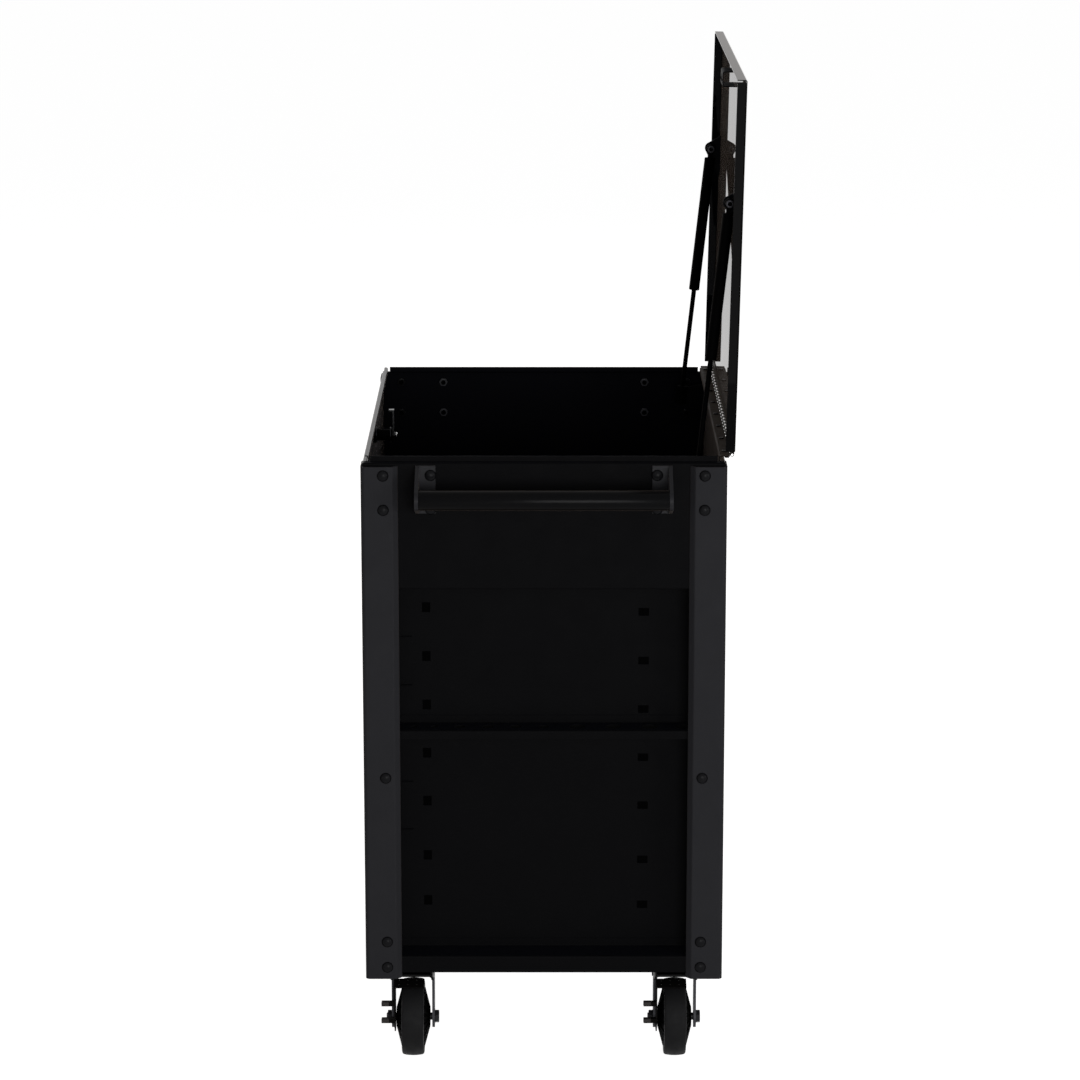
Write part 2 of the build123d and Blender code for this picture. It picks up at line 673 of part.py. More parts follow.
# Drawers, their slides and the rails between them
def drawer_rail(level):
    """A strip between two drawers, with a tab through each partition."""
    z0 = level - HALF_SHEET
    z1 = level + HALF_SHEET
    strip = block(-BAY_X, BAY_X, RAIL_FRONT, RAIL_FRONT + RAIL_STRIP, z0, z1)
    strip += block(-BAY_X, BAY_X, RAIL_FRONT, RAIL_FRONT + SHEET, z0 - RAIL_HEM, z1)
    reach = PARTITION_FACE + RAIL_TAB_REACH
    return strip + block(-reach, reach, RAIL_TAB[0], RAIL_TAB[1], z0, z1)


def cabinet_slide(level):
    """The fixed right-hand member of a drawer slide: a channel on the partition."""
    half = SLIDE_HEIGHT / 2 - HALF_SHEET
    web = BAY_X - HALF_SHEET
    inner = BAY_X - SLIDE_LIP
    section = folded([(inner, level + half), (web, level + half), (web, level - half), (inner, level - half)])
    return along_y(section, SLIDE_FRONT, SLIDE_FRONT + SLIDE_LENGTH)


DRAWER_SIDE = BAY_X - SLIDE_WIDTH


def drawer_runner(level):
    """The moving right-hand member of a drawer slide, riding inside the fixed one."""
    half = SLIDE_HEIGHT / 2 - SHEET - CLEAR - HALF_SHEET
    web = DRAWER_SIDE + HALF_SHEET
    tip = DRAWER_SIDE + SLIDE_WIDTH - SHEET - RUNNER_GAP
    section = folded([(tip, level + half), (web, level + half), (web, level - half), (tip, level - half)])
    return along_y(section, SLIDE_FRONT, SLIDE_FRONT + SLIDE_LENGTH)


def drawer(top, bottom, levels):
    """A tray with an inset front, a full-width pull along its top, and its slide runners."""
    front_x = BAY_X - DRAWER_SIDE_GAP
    face_top = top - DRAWER_GAP
    face_foot = bottom + DRAWER_GAP
    half = DRAWER_SHEET / 2
    plane = DRAWER_FRONT + half
    pull_z = face_top - half
    lip = DRAWER_FRONT - PULL_REACH + half
    face = folded([(plane, face_foot), (plane, pull_z), (lip, pull_z), (lip, face_top - PULL_DROP)],
                  DRAWER_SHEET, DRAWER_SHEET * 1.5)
    tray = along_x(face, -front_x, front_x)
    y0 = DRAWER_FRONT
    y1 = DRAWER_FRONT + DRAWER_BOX_LENGTH
    z0 = bottom + DRAWER_BOX_LIFT
    z1 = top - DRAWER_BOX_TOP_GAP
    outer = block(-DRAWER_SIDE, DRAWER_SIDE, y0 + half, y1, z0, z1)
    inner = block(-DRAWER_SIDE + DRAWER_SHEET, DRAWER_SIDE - DRAWER_SHEET, y0 - 1, y1 - DRAWER_SHEET,
                  z0 + DRAWER_SHEET, z1 + 1)
    tray += outer - inner
    runners = [drawer_runner(level) for level in levels]
    return [tray] + runners + [mirrored_x(runner) for runner in runners]


def build_drawers():
    save("drawer_rails", *[drawer_rail(level) for level in RAIL_LEVELS])
    slides = [cabinet_slide(level) for level in SLIDE_LEVELS]
    save("cabinet_slides", *slides, *[mirrored_x(slide) for slide in slides])
    for i, (top, bottom) in enumerate(zip(DRAWER_TOPS, DRAWER_BOTTOMS)):
        levels = [SMALL_SLIDES[i]] if i < SMALL_DRAWERS else DEEP_SLIDES
        save(f"drawer_{i + 1}", *drawer(top, bottom, levels))


# Lid with its hinge
def lid_pan():
    """A shallow pan: a flange at the front and both ends, open at the hinge."""
    front = LID_FRONT + HALF_SHEET
    end = END_FACE - HALF_SHEET
    skin = LID_TOP - HALF_SHEET
    corner = BEND + SHEET
    lengthwise = folded([(front, LID_EDGE), (front, skin), (LID_REAR, skin)])
    crosswise = folded([(-end, LID_EDGE), (-end, skin), (end, skin), (end, LID_EDGE)])
    pan = along_x(lengthwise, -END_FACE + corner, END_FACE - corner)
    return pan + along_y(crosswise, LID_FRONT + LID_CORNER_GAP, LID_REAR)


KNUCKLE = KNUCKLE_PITCH / 2


def hinge_leaf(upper):
    """One leaf of the long hinge, with every second knuckle."""
    leaf_z = HINGE_Z + KNUCKLE_RADIUS - LEAF if upper else HINGE_Z - KNUCKLE_RADIUS
    half = HINGE_LENGTH / 2
    leaf = block(-half, half, HINGE_Y - LEAF_WIDTH, HINGE_Y, leaf_z, leaf_z + LEAF)
    for i in range(KNUCKLE_COUNT):
        own = -half + i * KNUCKLE_PITCH + (KNUCKLE if upper else 0)
        other = own + (-KNUCKLE if upper else KNUCKLE)
        leaf -= block(other - CLEAR, other + KNUCKLE + CLEAR, HINGE_Y - KNUCKLE_RADIUS - CLEAR, HINGE_Y + 1,
                      leaf_z - 1, leaf_z + LEAF + 1)
        leaf += bar_x(KNUCKLE_RADIUS, own + CLEAR, own + KNUCKLE - CLEAR, HINGE_Y, HINGE_Z)
    leaf -= bar_x(HINGE_PIN_RADIUS + RUNNING, -half - 1, half + 1, HINGE_Y, HINGE_Z)
    if not upper:
        for x in HINGE_SCREW_X:
            leaf -= bar_z(HINGE_SCREW_RADIUS + HOLE_CLEAR, x, HINGE_SCREW_Y, leaf_z - 1, leaf_z + LEAF + 1)
    return leaf


def hinge_screw(x):
    """A pan head screw through the lower leaf and the rim, with its nut."""
    seat = RIM_TOP + LEAF
    head = bar_z(HINGE_SCREW_HEAD_RADIUS, x, HINGE_SCREW_Y, seat, seat + HINGE_SCREW_HEAD)
    head = fillet(head.edges().group_by(Axis.Z)[-1], HINGE_SCREW_HEAD * 0.6)
    under = RIM_TOP - SHEET - HINGE_NUT
    shank = bar_z(HINGE_SCREW_RADIUS, x, HINGE_SCREW_Y, under, seat)
    screw_nut = nut(HINGE_NUT_ACROSS, HINGE_NUT, HINGE_SCREW_RADIUS)
    return [head + shank, Pos(x, HINGE_SCREW_Y, under) * screw_nut]


def lid_strike():
    """A folded keeper under the lid: the cam's hook enters its slot, then turns over its web."""
    front = LID_FRONT + STRIKE_FRONT_INSET
    back = front + STRIKE_DEPTH
    web = LID_EDGE - STRIKE_BELOW_LID
    half = STRIKE_WIDTH / 2
    section = folded([(front, LID_UNDER), (front, web), (back, web), (back, LID_UNDER)])
    keeper = along_x(section, -half, half)
    hook_slot = CAM_WIDTH / 2 + CAM_SLOT_CLEAR
    swing = math.radians(CAM_TURN)
    arm_slot = CAM_REACH * math.sin(swing) + CAM_WIDTH
    keeper -= block(-hook_slot, hook_slot, CAM_FRONT - CAM_HOOK - CAM_SLOT_CLEAR,
                    CAM_BACK + CAM_SLOT_CLEAR, web - SHEET, web + SHEET)
    return keeper - block(-arm_slot, arm_slot, CAM_FRONT - CAM_SLOT_CLEAR / 2, CAM_BACK + CAM_SLOT_CLEAR,
                          web - SHEET, web + SHEET)


CAM_FRONT = -SIDE_FACE + LOCK_LENGTH + CLEAR
CAM_BACK = CAM_FRONT + PLATE

STRUT_LID_Y = HINGE_Y - STRUT_LID_REACH
STRUT_LID_Z = HINGE_Z - STRUT_LID_DROP
EAR_X = STRUT_X - SOCKET_RADIUS - CLEAR - PLATE
EAR_FOOT_Y = STRUT_LID_Y + EAR_FOOT_SHIFT


def lid_bracket(x):
    """A gusset on the lid for a strut's upper end, with the stud that the strut turns on."""
    ear_x = x - STRUT_X + EAR_X
    foot = LID_UNDER - PLATE
    outline = make_hull((Pos(STRUT_LID_Y, STRUT_LID_Z) * Circle(EYE_RADIUS + EAR_MARGIN)
                         + Pos(EAR_FOOT_Y, foot) * Rectangle(EAR_FOOT, PLATE)).edges())
    ear = along_x(outline, ear_x, ear_x + PLATE)
    plate = block(ear_x - EAR_FOOT_WIDTH, ear_x + PLATE, EAR_FOOT_Y - EAR_FOOT / 2,
                  EAR_FOOT_Y + EAR_FOOT / 2, foot, LID_UNDER)
    ear -= bar_x(STUD_RADIUS + RUNNING, ear_x - 1, ear_x + PLATE + 1, STRUT_LID_Y, STRUT_LID_Z)
    head_x = x + EYE_HALF + CLEAR
    stud = bar_x(STUD_RADIUS, ear_x - STUD_HEAD, head_x, STRUT_LID_Y, STRUT_LID_Z)
    stud += bar_x(STUD_HEAD_RADIUS, head_x, head_x + STUD_HEAD, STRUT_LID_Y, STRUT_LID_Z)
    stud += bar_x(STUD_HEAD_RADIUS, ear_x - STUD_HEAD, ear_x, STRUT_LID_Y, STRUT_LID_Z)
    stud += bar_x(STUD_COLLAR_RADIUS, ear_x + PLATE, x - EYE_HALF, STRUT_LID_Y, STRUT_LID_Z)
    stud -= bar_x(STUD_SOCKET, head_x + 1, head_x + STUD_HEAD + 1, STRUT_LID_Y, STRUT_LID_Z)
    return [ear + plate, stud]


def build_lid():
    save("lid_pan", opened(lid_pan()))
    save("hinge_upper_leaf", opened(hinge_leaf(True)))
    save("hinge_lower_leaf", hinge_leaf(False))
    half = HINGE_LENGTH / 2
    save("hinge_pin", bar_x(HINGE_PIN_RADIUS, -half, half, HINGE_Y, HINGE_Z))
    save("hinge_screws", *[piece for x in HINGE_SCREW_X for piece in hinge_screw(x)])
    save("lid_strike", opened(lid_strike()))
    brackets = lid_bracket(STRUT_X) + lid_bracket(-STRUT_X)
    save("lid_strut_brackets", *[opened(piece) for piece in brackets])


# Gas struts, built upright with the lower pivot at the origin and then leaned into place
WALL_PIVOT = (HINGE_Y - STRUT_WALL_REACH, HINGE_Z - STRUT_WALL_DROP)
LID_PIVOT = opened_point(STRUT_LID_Y, STRUT_LID_Z)
STRUT_LENGTH = math.dist(WALL_PIVOT, LID_PIVOT)
STRUT_LEAN = math.degrees(math.atan2(LID_PIVOT[0] - WALL_PIVOT[0], LID_PIVOT[1] - WALL_PIVOT[1]))
TUBE_TOP = STRUT_LENGTH - EYE_NECK
TUBE_FOOT = TUBE_TOP - TUBE_LENGTH


def leaned(shape, x):
    """Puts an upright strut piece on its lower pivot, leaning back towards the lid."""
    return Pos(x, WALL_PIVOT[0], WALL_PIVOT[1]) * Rot(-STRUT_LEAN, 0, 0) * shape


def strut_tube():
    """The pressure tube: a gland at its foot, a long bore, and an eye at its head."""
    tube = bar_z(TUBE_RADIUS, 0, 0, TUBE_FOOT, TUBE_TOP)
    tube = fillet(tube.edges(), 1.2)
    tube -= bar_z(TUBE_BORE, 0, 0, TUBE_FOOT + GLAND, TUBE_TOP - TUBE_CAP)
    tube -= bar_z(ROD_RADIUS + RUNNING, 0, 0, TUBE_FOOT - 1, TUBE_FOOT + GLAND + 1)
    eye = bar_x(EYE_RADIUS, -EYE_HALF, EYE_HALF, 0, STRUT_LENGTH)
    eye += block(-EYE_HALF, EYE_HALF, -EYE_HALF, EYE_HALF, TUBE_TOP - 1, STRUT_LENGTH)
    return tube + (eye - bar_x(STUD_RADIUS + RUNNING, -EYE_HALF - 1, EYE_HALF + 1, 0, STRUT_LENGTH))


def strut_rod():
    """The bright rod, with a piston inside the tube and a socket at its foot."""
    piston_foot = TUBE_FOOT + GLAND + CLEAR
    rod = bar_z(ROD_RADIUS, 0, 0, 0, piston_foot + PISTON)
    rod += bar_z(TUBE_BORE - RUNNING, 0, 0, piston_foot, piston_foot + PISTON)
    socket = bar_z(SOCKET_RADIUS, 0, 0, -SOCKET_BELOW_PIVOT, SOCKET_LENGTH - SOCKET_BELOW_PIVOT)
    return rod + fillet(socket.edges(), 1.5)


def wall_bracket(x):
    """An angle on the back panel whose ear stands beside a strut's lower end."""
    ear_x = x - STRUT_X + EAR_X
    y, z = WALL_PIVOT
    outline = make_hull((Pos(y, z) * Circle(EYE_RADIUS + EAR_EDGE)
                         + Pos(SIDE_INNER - PLATE / 2, z) * Rectangle(PLATE, BRACKET_HEIGHT)).edges())
    ear = along_x(outline, ear_x, ear_x + PLATE)
    foot = block(ear_x - BRACKET_FOOT, ear_x + PLATE, SIDE_INNER - PLATE, SIDE_INNER,
                 z - BRACKET_HEIGHT / 2, z + BRACKET_HEIGHT / 2)
    stud = bar_x(STUD_HEAD_RADIUS, ear_x - STUD_HEAD, ear_x, y, z)
    return ear + foot + stud


def build_struts():
    for name, x in (("right", STRUT_X), ("left", -STRUT_X)):
        save(f"{name}_strut_tube", leaned(strut_tube(), x))
        save(f"{name}_strut_rod", leaned(strut_rod(), x))
    save("strut_wall_brackets", wall_bracket(STRUT_X), wall_bracket(-STRUT_X))


# Lock
def lock_body():
    """The lock's barrel through the front wall, with its flange outside and its nut inside."""
    back = -SIDE_FACE + LOCK_LENGTH
    barrel = bar_y(LOCK_RADIUS, 0, -SIDE_FACE, back, LOCK_Z)
    barrel += bar_y(LOCK_RADIUS + LOCK_RIM, 0, -SIDE_FACE - LOCK_FLANGE, -SIDE_FACE, LOCK_Z)
    barrel -= bar_y(PLUG_RADIUS + RUNNING, 0, -POST_Y - 1, back + 1, LOCK_Z)
    ring = Pos(0, -SIDE_INNER, LOCK_Z) * Rot(-90, 0, 0) * nut(LOCK_NUT_ACROSS, LOCK_NUT, LOCK_RADIUS)
    return [barrel, ring]


def lock_cam():
    """The key plug with its cam arm, which points up and hooks forward at its tip."""
    front = -SIDE_FACE - LOCK_FLANGE
    plug = bar_y(PLUG_RADIUS, 0, front, CAM_FRONT, LOCK_Z)
    width, height, depth = KEYWAY
    plug -= block(-width / 2, width / 2, front - 1, front + depth, LOCK_Z - height / 2, LOCK_Z + height / 2)
    half = CAM_WIDTH / 2
    tip = LOCK_Z + CAM_REACH
    outline = make_hull((Pos(0, LOCK_Z) * Circle(half + 2)
                         + Pos(0, tip - half) * Rectangle(CAM_WIDTH, CAM_WIDTH)).edges())
    cam = along_y(outline, CAM_FRONT, CAM_BACK)
    cam += block(-half, half, CAM_FRONT - CAM_HOOK, CAM_FRONT, tip - CAM_HOOK_HEIGHT, tip)
    return plug + cam + bar_y(CAM_SCREW_RADIUS, 0, CAM_BACK, CAM_BACK + CAM_SCREW, LOCK_Z)


def build_lock():
    save("lock_body", *lock_body())
    save("lock_cam", lock_cam())


# Push handles at both ends
HANDLE_X = END_FACE + HANDLE_REACH
TUBE_Z = HANDLE_Z - HANDLE_TUBE_DROP
FOOT_Z = HANDLE_Z + HANDLE_FOOT_RISE


def handle_bracket():
    """One right-end bracket: a tapered cheek beside the tube, and a foot with two bolt holes."""
    foot_x = END_FACE + HANDLE_FOOT_SHEET
    outline = make_hull((Pos(HANDLE_X, TUBE_Z) * Circle(HANDLE_TUBE_RADIUS + CLEAR)
                         + Pos((END_FACE + foot_x) / 2, FOOT_Z)
                         * Rectangle(HANDLE_FOOT_SHEET, HANDLE_FOOT_HEIGHT)).edges())
    cheek = along_y(outline, HANDLE_HALF_SPAN, HANDLE_HALF_SPAN + HANDLE_PLATE)
    half = HANDLE_FOOT_HEIGHT / 2
    cheek += block(END_FACE, foot_x, HANDLE_HALF_SPAN - HANDLE_FOOT_WIDTH, HANDLE_HALF_SPAN,
                   FOOT_Z - half, FOOT_Z + half)
    for level in HANDLE_BOLT_LEVELS:
        cheek -= bar_x(BOLT_RADIUS + HOLE_CLEAR, END_FACE - 1, foot_x + 1, HANDLE_BOLT_Y, level)
    return cheek


def build_handles():
    tube = bar_y(HANDLE_TUBE_RADIUS, HANDLE_X, -HANDLE_HALF_SPAN, HANDLE_HALF_SPAN, TUBE_Z)
    tube -= bar_y(HANDLE_TUBE_RADIUS - HANDLE_TUBE_WALL, HANDLE_X, -HANDLE_HALF_SPAN - 1,
                  HANDLE_HALF_SPAN + 1, TUBE_Z)
    bracket = handle_bracket()
    pair = [bracket, mirrored_y(bracket)]
    save("right_handle_tube", tube)
    save("left_handle_tube", mirrored_x(tube))
    save("right_handle_brackets", *pair)
    save("left_handle_brackets", *[mirrored_x(piece) for piece in pair])
    bolts = []
    seat = END_FACE + HANDLE_FOOT_SHEET
    length = seat - END_INNER + NUT_HEIGHT + BOLT_TAIL
    for side in (1, -1):
        for y in (-HANDLE_BOLT_Y, HANDLE_BOLT_Y):
            for level in HANDLE_BOLT_LEVELS:
                bolts.append(Pos(side * seat, y, level) * facing(side) * carriage_bolt(length))
                bolts.append(Pos(side * (END_INNER - NUT_HEIGHT), y, level) * facing(side) * nut())
    save("handle_bolts", *bolts)


# Casters: wheels, forks, axles and brakes are drawn round the axle, with the wheel's middle at Y = 0
def wheel():
    """A solid wheel: a crowned tread with rounded shoulders, and cones down to a wide hub."""
    hub = HUB_WIDTH / 2
    tread = TREAD_WIDTH / 2
    shoulder = WHEEL_RADIUS - WHEEL_CROWN
    band = shoulder - RIM_BAND
    half = [(AXLE_RADIUS + RUNNING, hub), (HUB_RADIUS, hub), (HUB_RADIUS + RIM_FLARE, hub - RIM_FLARE),
            (band - RIM_FLARE, tread + RIM_FLARE), (band, tread), (shoulder, tread)]
    flanks = Polyline(*[(r, -w) for r, w in reversed(half)], *half)
    crown = ThreePointArc((shoulder, tread), (WHEEL_RADIUS, 0), (shoulder, -tread))
    section = make_face(flanks + crown)
    shoulders = [v for v in section.vertices() if v.X > shoulder - RIM_BAND / 2]
    section = fillet(shoulders, WHEEL_SHOULDER)
    return Rot(90, 0, 0) * revolve(Plane.XZ * section, axis=Axis.Z)


def fork(outline, top):
    """A fork bent from one plate: a crown and two legs, cut to an outline in X and Z."""
    half = FORK_SHEET / 2
    leg = FORK_WIDTH / 2 - half
    foot = -FORK_FOOT_RADIUS - 1
    section = folded([(-leg, foot), (-leg, top - half), (leg, top - half), (leg, foot)],
                     FORK_SHEET, FORK_SHEET * 1.5)
    bent = along_x(section, -2 * FORK_CROWN, 2 * FORK_CROWN)
    return (bent & along_y(outline, -FORK_WIDTH, FORK_WIDTH)) - bar_y(
        AXLE_RADIUS + RUNNING, 0, -FORK_WIDTH, FORK_WIDTH, 0)


def leg_outline(points, crown_x0, crown_x1, top):
    """A fork leg's outline: a crown band, a tapering leg and a round foot about the axle."""
    leg = make_face(Polyline(*points, close=True)) + Circle(FORK_FOOT_RADIUS)
    crown = Pos((crown_x0 + crown_x1) / 2, top - FORK_SKIRT / 2) * Rectangle(crown_x1 - crown_x0, FORK_SKIRT)
    return leg + crown


def rigid_fork():
    """The braked caster's fork, with the rivet that its brake lever turns on."""
    top = FORK_TOP
    brow = LEVER_PIVOT[1] - SHOE_GAP
    points = [(-FORK_FOOT_RADIUS, 0), (-LEG_BACK, brow), (-LEG_FLARE, top), (LEG_FLARE, top),
              (LEG_FLARE, top - FORK_SKIRT + 2), (LEG_FRONT, brow), (LEG_FRONT, brow / 2),
              (FORK_FOOT_RADIUS, 0)]
    body = fork(leg_outline(points, -FORK_CROWN / 2, FORK_CROWN / 2, top), top)
    for dx, dy in caster_offsets(False):
        body -= bar_z(PLATE_BOLT_RADIUS + HOLE_CLEAR, dx, dy, top - 2 * FORK_SHEET, top + 1)
    x, z = LEVER_PIVOT
    inside = LEVER_INNER + CLEAR
    head = LEVER_RIVET_RADIUS + LEVER_RIVET_HEAD
    body += bar_y(LEVER_RIVET_RADIUS, x, -FORK_WIDTH / 2, inside, z)
    body += bar_y(head, x, inside, inside + LEVER_RIVET_HEAD, z)
    return body + bar_y(head, x, -FORK_WIDTH / 2 - LEVER_RIVET_HEAD, -FORK_WIDTH / 2, z)


def axle():
    """An axle bolt along Y with its nut."""
    side = FORK_WIDTH / 2
    bolt = bar_y(AXLE_RADIUS, 0, -side - AXLE_HEAD - BOLT_TAIL, side, 0)
    bolt += Pos(0, side, 0) * Rot(-90, 0, 0) * hexagon(AXLE_ACROSS, AXLE_HEAD)
    axle_nut = Pos(0, -side, 0) * Rot(90, 0, 0) * nut(AXLE_ACROSS, AXLE_HEAD, AXLE_RADIUS)
    return [bolt, axle_nut]


LEVER_OUTER = -FORK_INNER + CLEAR
LEVER_INNER = LEVER_OUTER + LEVER_SHEET
LEVER_TRAVEL = math.hypot(*LEVER_PIVOT) * math.radians(LEVER_SWING)


def lever_tab(x, z):
    """A foot tab that reaches out past the front of the fork's leg."""
    return block(x, x + TAB_DEPTH, -FORK_WIDTH / 2 - TAB_REACH, LEVER_INNER, z, z + TAB_SHEET)


def brake_lever():
    """A pedal plate with a shoe across the tread, a slot round the axle and two foot tabs."""
    x, z = LEVER_PIVOT
    shoe_in = WHEEL_RADIUS + SHOE_GAP
    shoe_out = shoe_in + LEVER_SHEET
    slot = AXLE_RADIUS + LEVER_SLOT_CLEAR
    half = slot + LEVER_EDGE
    ear = LEVER_RIVET_RADIUS + LEVER_EDGE
    edge_x = math.cos(math.radians(SHOE_FROM))
    edge_z = math.sin(math.radians(SHOE_FROM))
    high_x = LEG_FRONT + LEVER_TRAVEL + TAB_CLEAR
    high_z = z * TAB_SHARE
    low_x = FORK_FOOT_RADIUS + LEVER_TRAVEL + TAB_CLEAR
    outline = [(x - ear, z + ear), (x + ear, z + ear), (shoe_out * edge_x, shoe_out * edge_z),
               (shoe_in * edge_x, shoe_in * edge_z - LEVER_EDGE), (high_x + TAB_DEPTH, high_z + LEVER_EDGE),
               (high_x + TAB_DEPTH, high_z), (low_x + TAB_DEPTH, LEVER_EDGE), (low_x + TAB_DEPTH, 0),
               (half, -2 * half), (-half / 2, -2 * half), (-half, -half), (-half, half)]
    before = LEVER_OUTER - CLEAR
    behind = LEVER_INNER + CLEAR
    plate = along_y(make_face(Polyline(*outline, close=True)), LEVER_OUTER, LEVER_INNER)
    plate -= bar_y(LEVER_RIVET_RADIUS + RUNNING, x, before, behind, z)
    plate -= bar_y(slot, 0, before, behind, 0)
    plate -= bar_y(slot, LEVER_TRAVEL, before, behind, 0)
    plate -= block(0, LEVER_TRAVEL, before, behind, -slot, slot)
    ring = Circle(shoe_out) - Circle(shoe_in)
    width = 2 * shoe_out * math.sin(math.radians(SHOE_TO - SHOE_FROM) / 2)
    window = Rot(0, 0, (SHOE_FROM + SHOE_TO) / 2) * Pos(shoe_out, 0) * Rectangle(4 * LEVER_SHEET, width)
    shoe = along_y(ring & window, LEVER_OUTER, SHOE_REACH)
    return plate + shoe + lever_tab(high_x, high_z) + lever_tab(low_x, 0)


def swivel_plate():
    """A swivel caster's top plate with its kingpin, from the axle at rest."""
    x = -SWIVEL_TRAIL
    top = FORK_TOP
    half_x = SWIVEL_PLATE_LENGTH / 2
    half_y = SWIVEL_PLATE_WIDTH / 2
    plate = block(x - half_x, x + half_x, -half_y, half_y, top - FORK_SHEET, top)
    plate = fillet(plate.edges().filter_by(Axis.Z), SWIVEL_PLATE_CORNER)
    for dx, dy in caster_offsets(True):
        plate -= bar_z(PLATE_BOLT_RADIUS + HOLE_CLEAR, x + dx, dy, top - 2 * FORK_SHEET, top + 1)
    crown_under = top - SWIVEL_CROWN_DROP - FORK_SHEET
    plate += bar_z(KINGPIN_RADIUS, x, 0, crown_under - CLEAR, top - FORK_SHEET)
    return plate + bar_z(KINGPIN_HEAD_RADIUS, x, 0, crown_under - CLEAR - KINGPIN_HEAD, crown_under - CLEAR)


def swivel_fork():
    """A swivel caster's raked fork with its ball race, from the axle at rest."""
    x = -SWIVEL_TRAIL
    top = FORK_TOP - SWIVEL_CROWN_DROP
    half = SWIVEL_CROWN / 2
    points = [(-FORK_FOOT_RADIUS, 0), (x - half, top - FORK_SKIRT + 1), (x - half, top), (x + half, top),
              (x + half, top - FORK_SKIRT + 1), (FORK_FOOT_RADIUS, 0)]
    body = fork(leg_outline(points, x - half, x + half, top), top)
    race_top = FORK_TOP - FORK_SHEET - CLEAR
    body += bar_z(RACE_RADIUS, x, 0, top, race_top)
    return body - bar_z(KINGPIN_RADIUS + RUNNING, x, 0, top - 2 * FORK_SHEET, race_top + 1)


def caster_bolts(x, y, swivel):
    """The bolts that hold a caster to its rail, with their nuts inside the channel."""
    under = CASTER_TOP - FORK_SHEET
    seat = POST_FOOT + PLATE
    length = seat - under + NUT_HEIGHT + BOLT_TAIL
    pieces = []
    for dx, dy in caster_offsets(swivel):
        pieces.append(Pos(x + dx, y + dy, under)
                      * hex_bolt(length, NUT_ACROSS, PLATE_BOLT_HEAD, PLATE_BOLT_RADIUS))
        pieces.append(Pos(x + dx, y + dy, seat) * nut(NUT_ACROSS, NUT_HEIGHT, PLATE_BOLT_RADIUS))
    return pieces


def build_casters():
    rolling = wheel()
    rigid = rigid_fork()
    lever = brake_lever()
    turning = swivel_fork()
    axles = []
    plates = []
    bolts = []
    for name, y in (("front", -CASTER_Y), ("rear", CASTER_Y)):
        right = Pos(CASTER_X, y, WHEEL_RADIUS)
        left = Pos(-CASTER_X + SWIVEL_TRAIL, y, WHEEL_RADIUS)
        save(f"{name}_rigid_fork", right * rigid)
        save(f"{name}_rigid_wheel", right * rolling)
        save(f"{name}_brake_lever", right * lever)
        axles += [right * piece for piece in axle()]
        save(f"{name}_swivel_fork", left * turning)
        save(f"{name}_swivel_wheel", left * rolling)
        save(f"{name}_swivel_axle", *[left * piece for piece in axle()])
        plates.append(left * swivel_plate())
        bolts += caster_bolts(CASTER_X, y, False) + caster_bolts(-CASTER_X, y, True)
    save("rigid_axles", *axles)
    save("swivel_plates", *plates)
    save("caster_bolts", *bolts)


os.makedirs("parts", exist_ok=True)
build_posts()
build_post_bolts()
build_till()
build_pocket()
build_base()
build_drawers()
build_lid()
build_struts()
build_lock()
build_handles()
build_casters()
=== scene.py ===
# %% [markdown]
# # A rolling tool chest, dressed for its picture
#
# The chest is folded from black sheet steel: four corner posts, an open till under a flip-top
# lid, a slotted partition with an open pocket beside it, and casters underneath. Its measured
# solids come in as a fixed frame. This lesson gives every surface its finish, models the pieces
# that need a closer look than a plain solid gives, and sets up the light and the camera.

# %% Load the measured frame
import json
import math
import bpy
from mathutils import Matrix, Vector


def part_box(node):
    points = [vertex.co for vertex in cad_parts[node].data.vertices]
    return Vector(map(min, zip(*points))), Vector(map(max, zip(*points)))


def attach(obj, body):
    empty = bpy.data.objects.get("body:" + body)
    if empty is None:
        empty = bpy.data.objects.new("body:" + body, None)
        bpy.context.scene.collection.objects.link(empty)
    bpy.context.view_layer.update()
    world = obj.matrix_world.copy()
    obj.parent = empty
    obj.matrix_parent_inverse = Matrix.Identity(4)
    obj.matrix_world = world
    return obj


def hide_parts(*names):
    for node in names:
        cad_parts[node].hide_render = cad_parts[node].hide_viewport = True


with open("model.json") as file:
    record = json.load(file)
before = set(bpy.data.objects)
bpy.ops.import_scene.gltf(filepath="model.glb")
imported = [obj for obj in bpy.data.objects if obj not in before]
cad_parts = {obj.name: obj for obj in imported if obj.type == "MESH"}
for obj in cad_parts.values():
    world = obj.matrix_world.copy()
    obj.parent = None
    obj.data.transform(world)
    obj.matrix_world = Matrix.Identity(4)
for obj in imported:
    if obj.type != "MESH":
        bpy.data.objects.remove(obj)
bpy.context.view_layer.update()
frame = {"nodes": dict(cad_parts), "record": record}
nodes = frame["nodes"]
print("solids in the frame:", len(nodes))

# %% [markdown]
# ## Places that the rest of the lesson is built on
#
# Nothing is placed by eye. The posts say where the cabinet is, the wheels say where the axles
# are, and so on. A node such as the post bolts holds many loose solids in one mesh, so a small
# search walks from triangle to triangle over shared corners and gives the box of each solid.

# %% Read the main places from the solids
MM = 0.001


def middle(node):
    """The middle of a solid's box."""
    low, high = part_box(node)
    return (low + high) / 2


def loose_boxes(node):
    """The lowest and highest corner of each separate solid in a node."""
    mesh = nodes[node].data
    owner = {}

    def root(key):
        while owner[key] != key:
            key = owner[key]
        return key

    keys = [tuple(round(value, 6) for value in point.co) for point in mesh.vertices]
    for key in keys:
        owner.setdefault(key, key)
    for face in mesh.polygons:
        first, *others = [keys[i] for i in face.vertices]
        for other in others:
            owner[root(other)] = root(first)
    groups = {}
    for key in owner:
        groups.setdefault(root(key), []).append(key)
    return [(Vector(map(min, zip(*points))), Vector(map(max, zip(*points)))) for points in groups.values()]


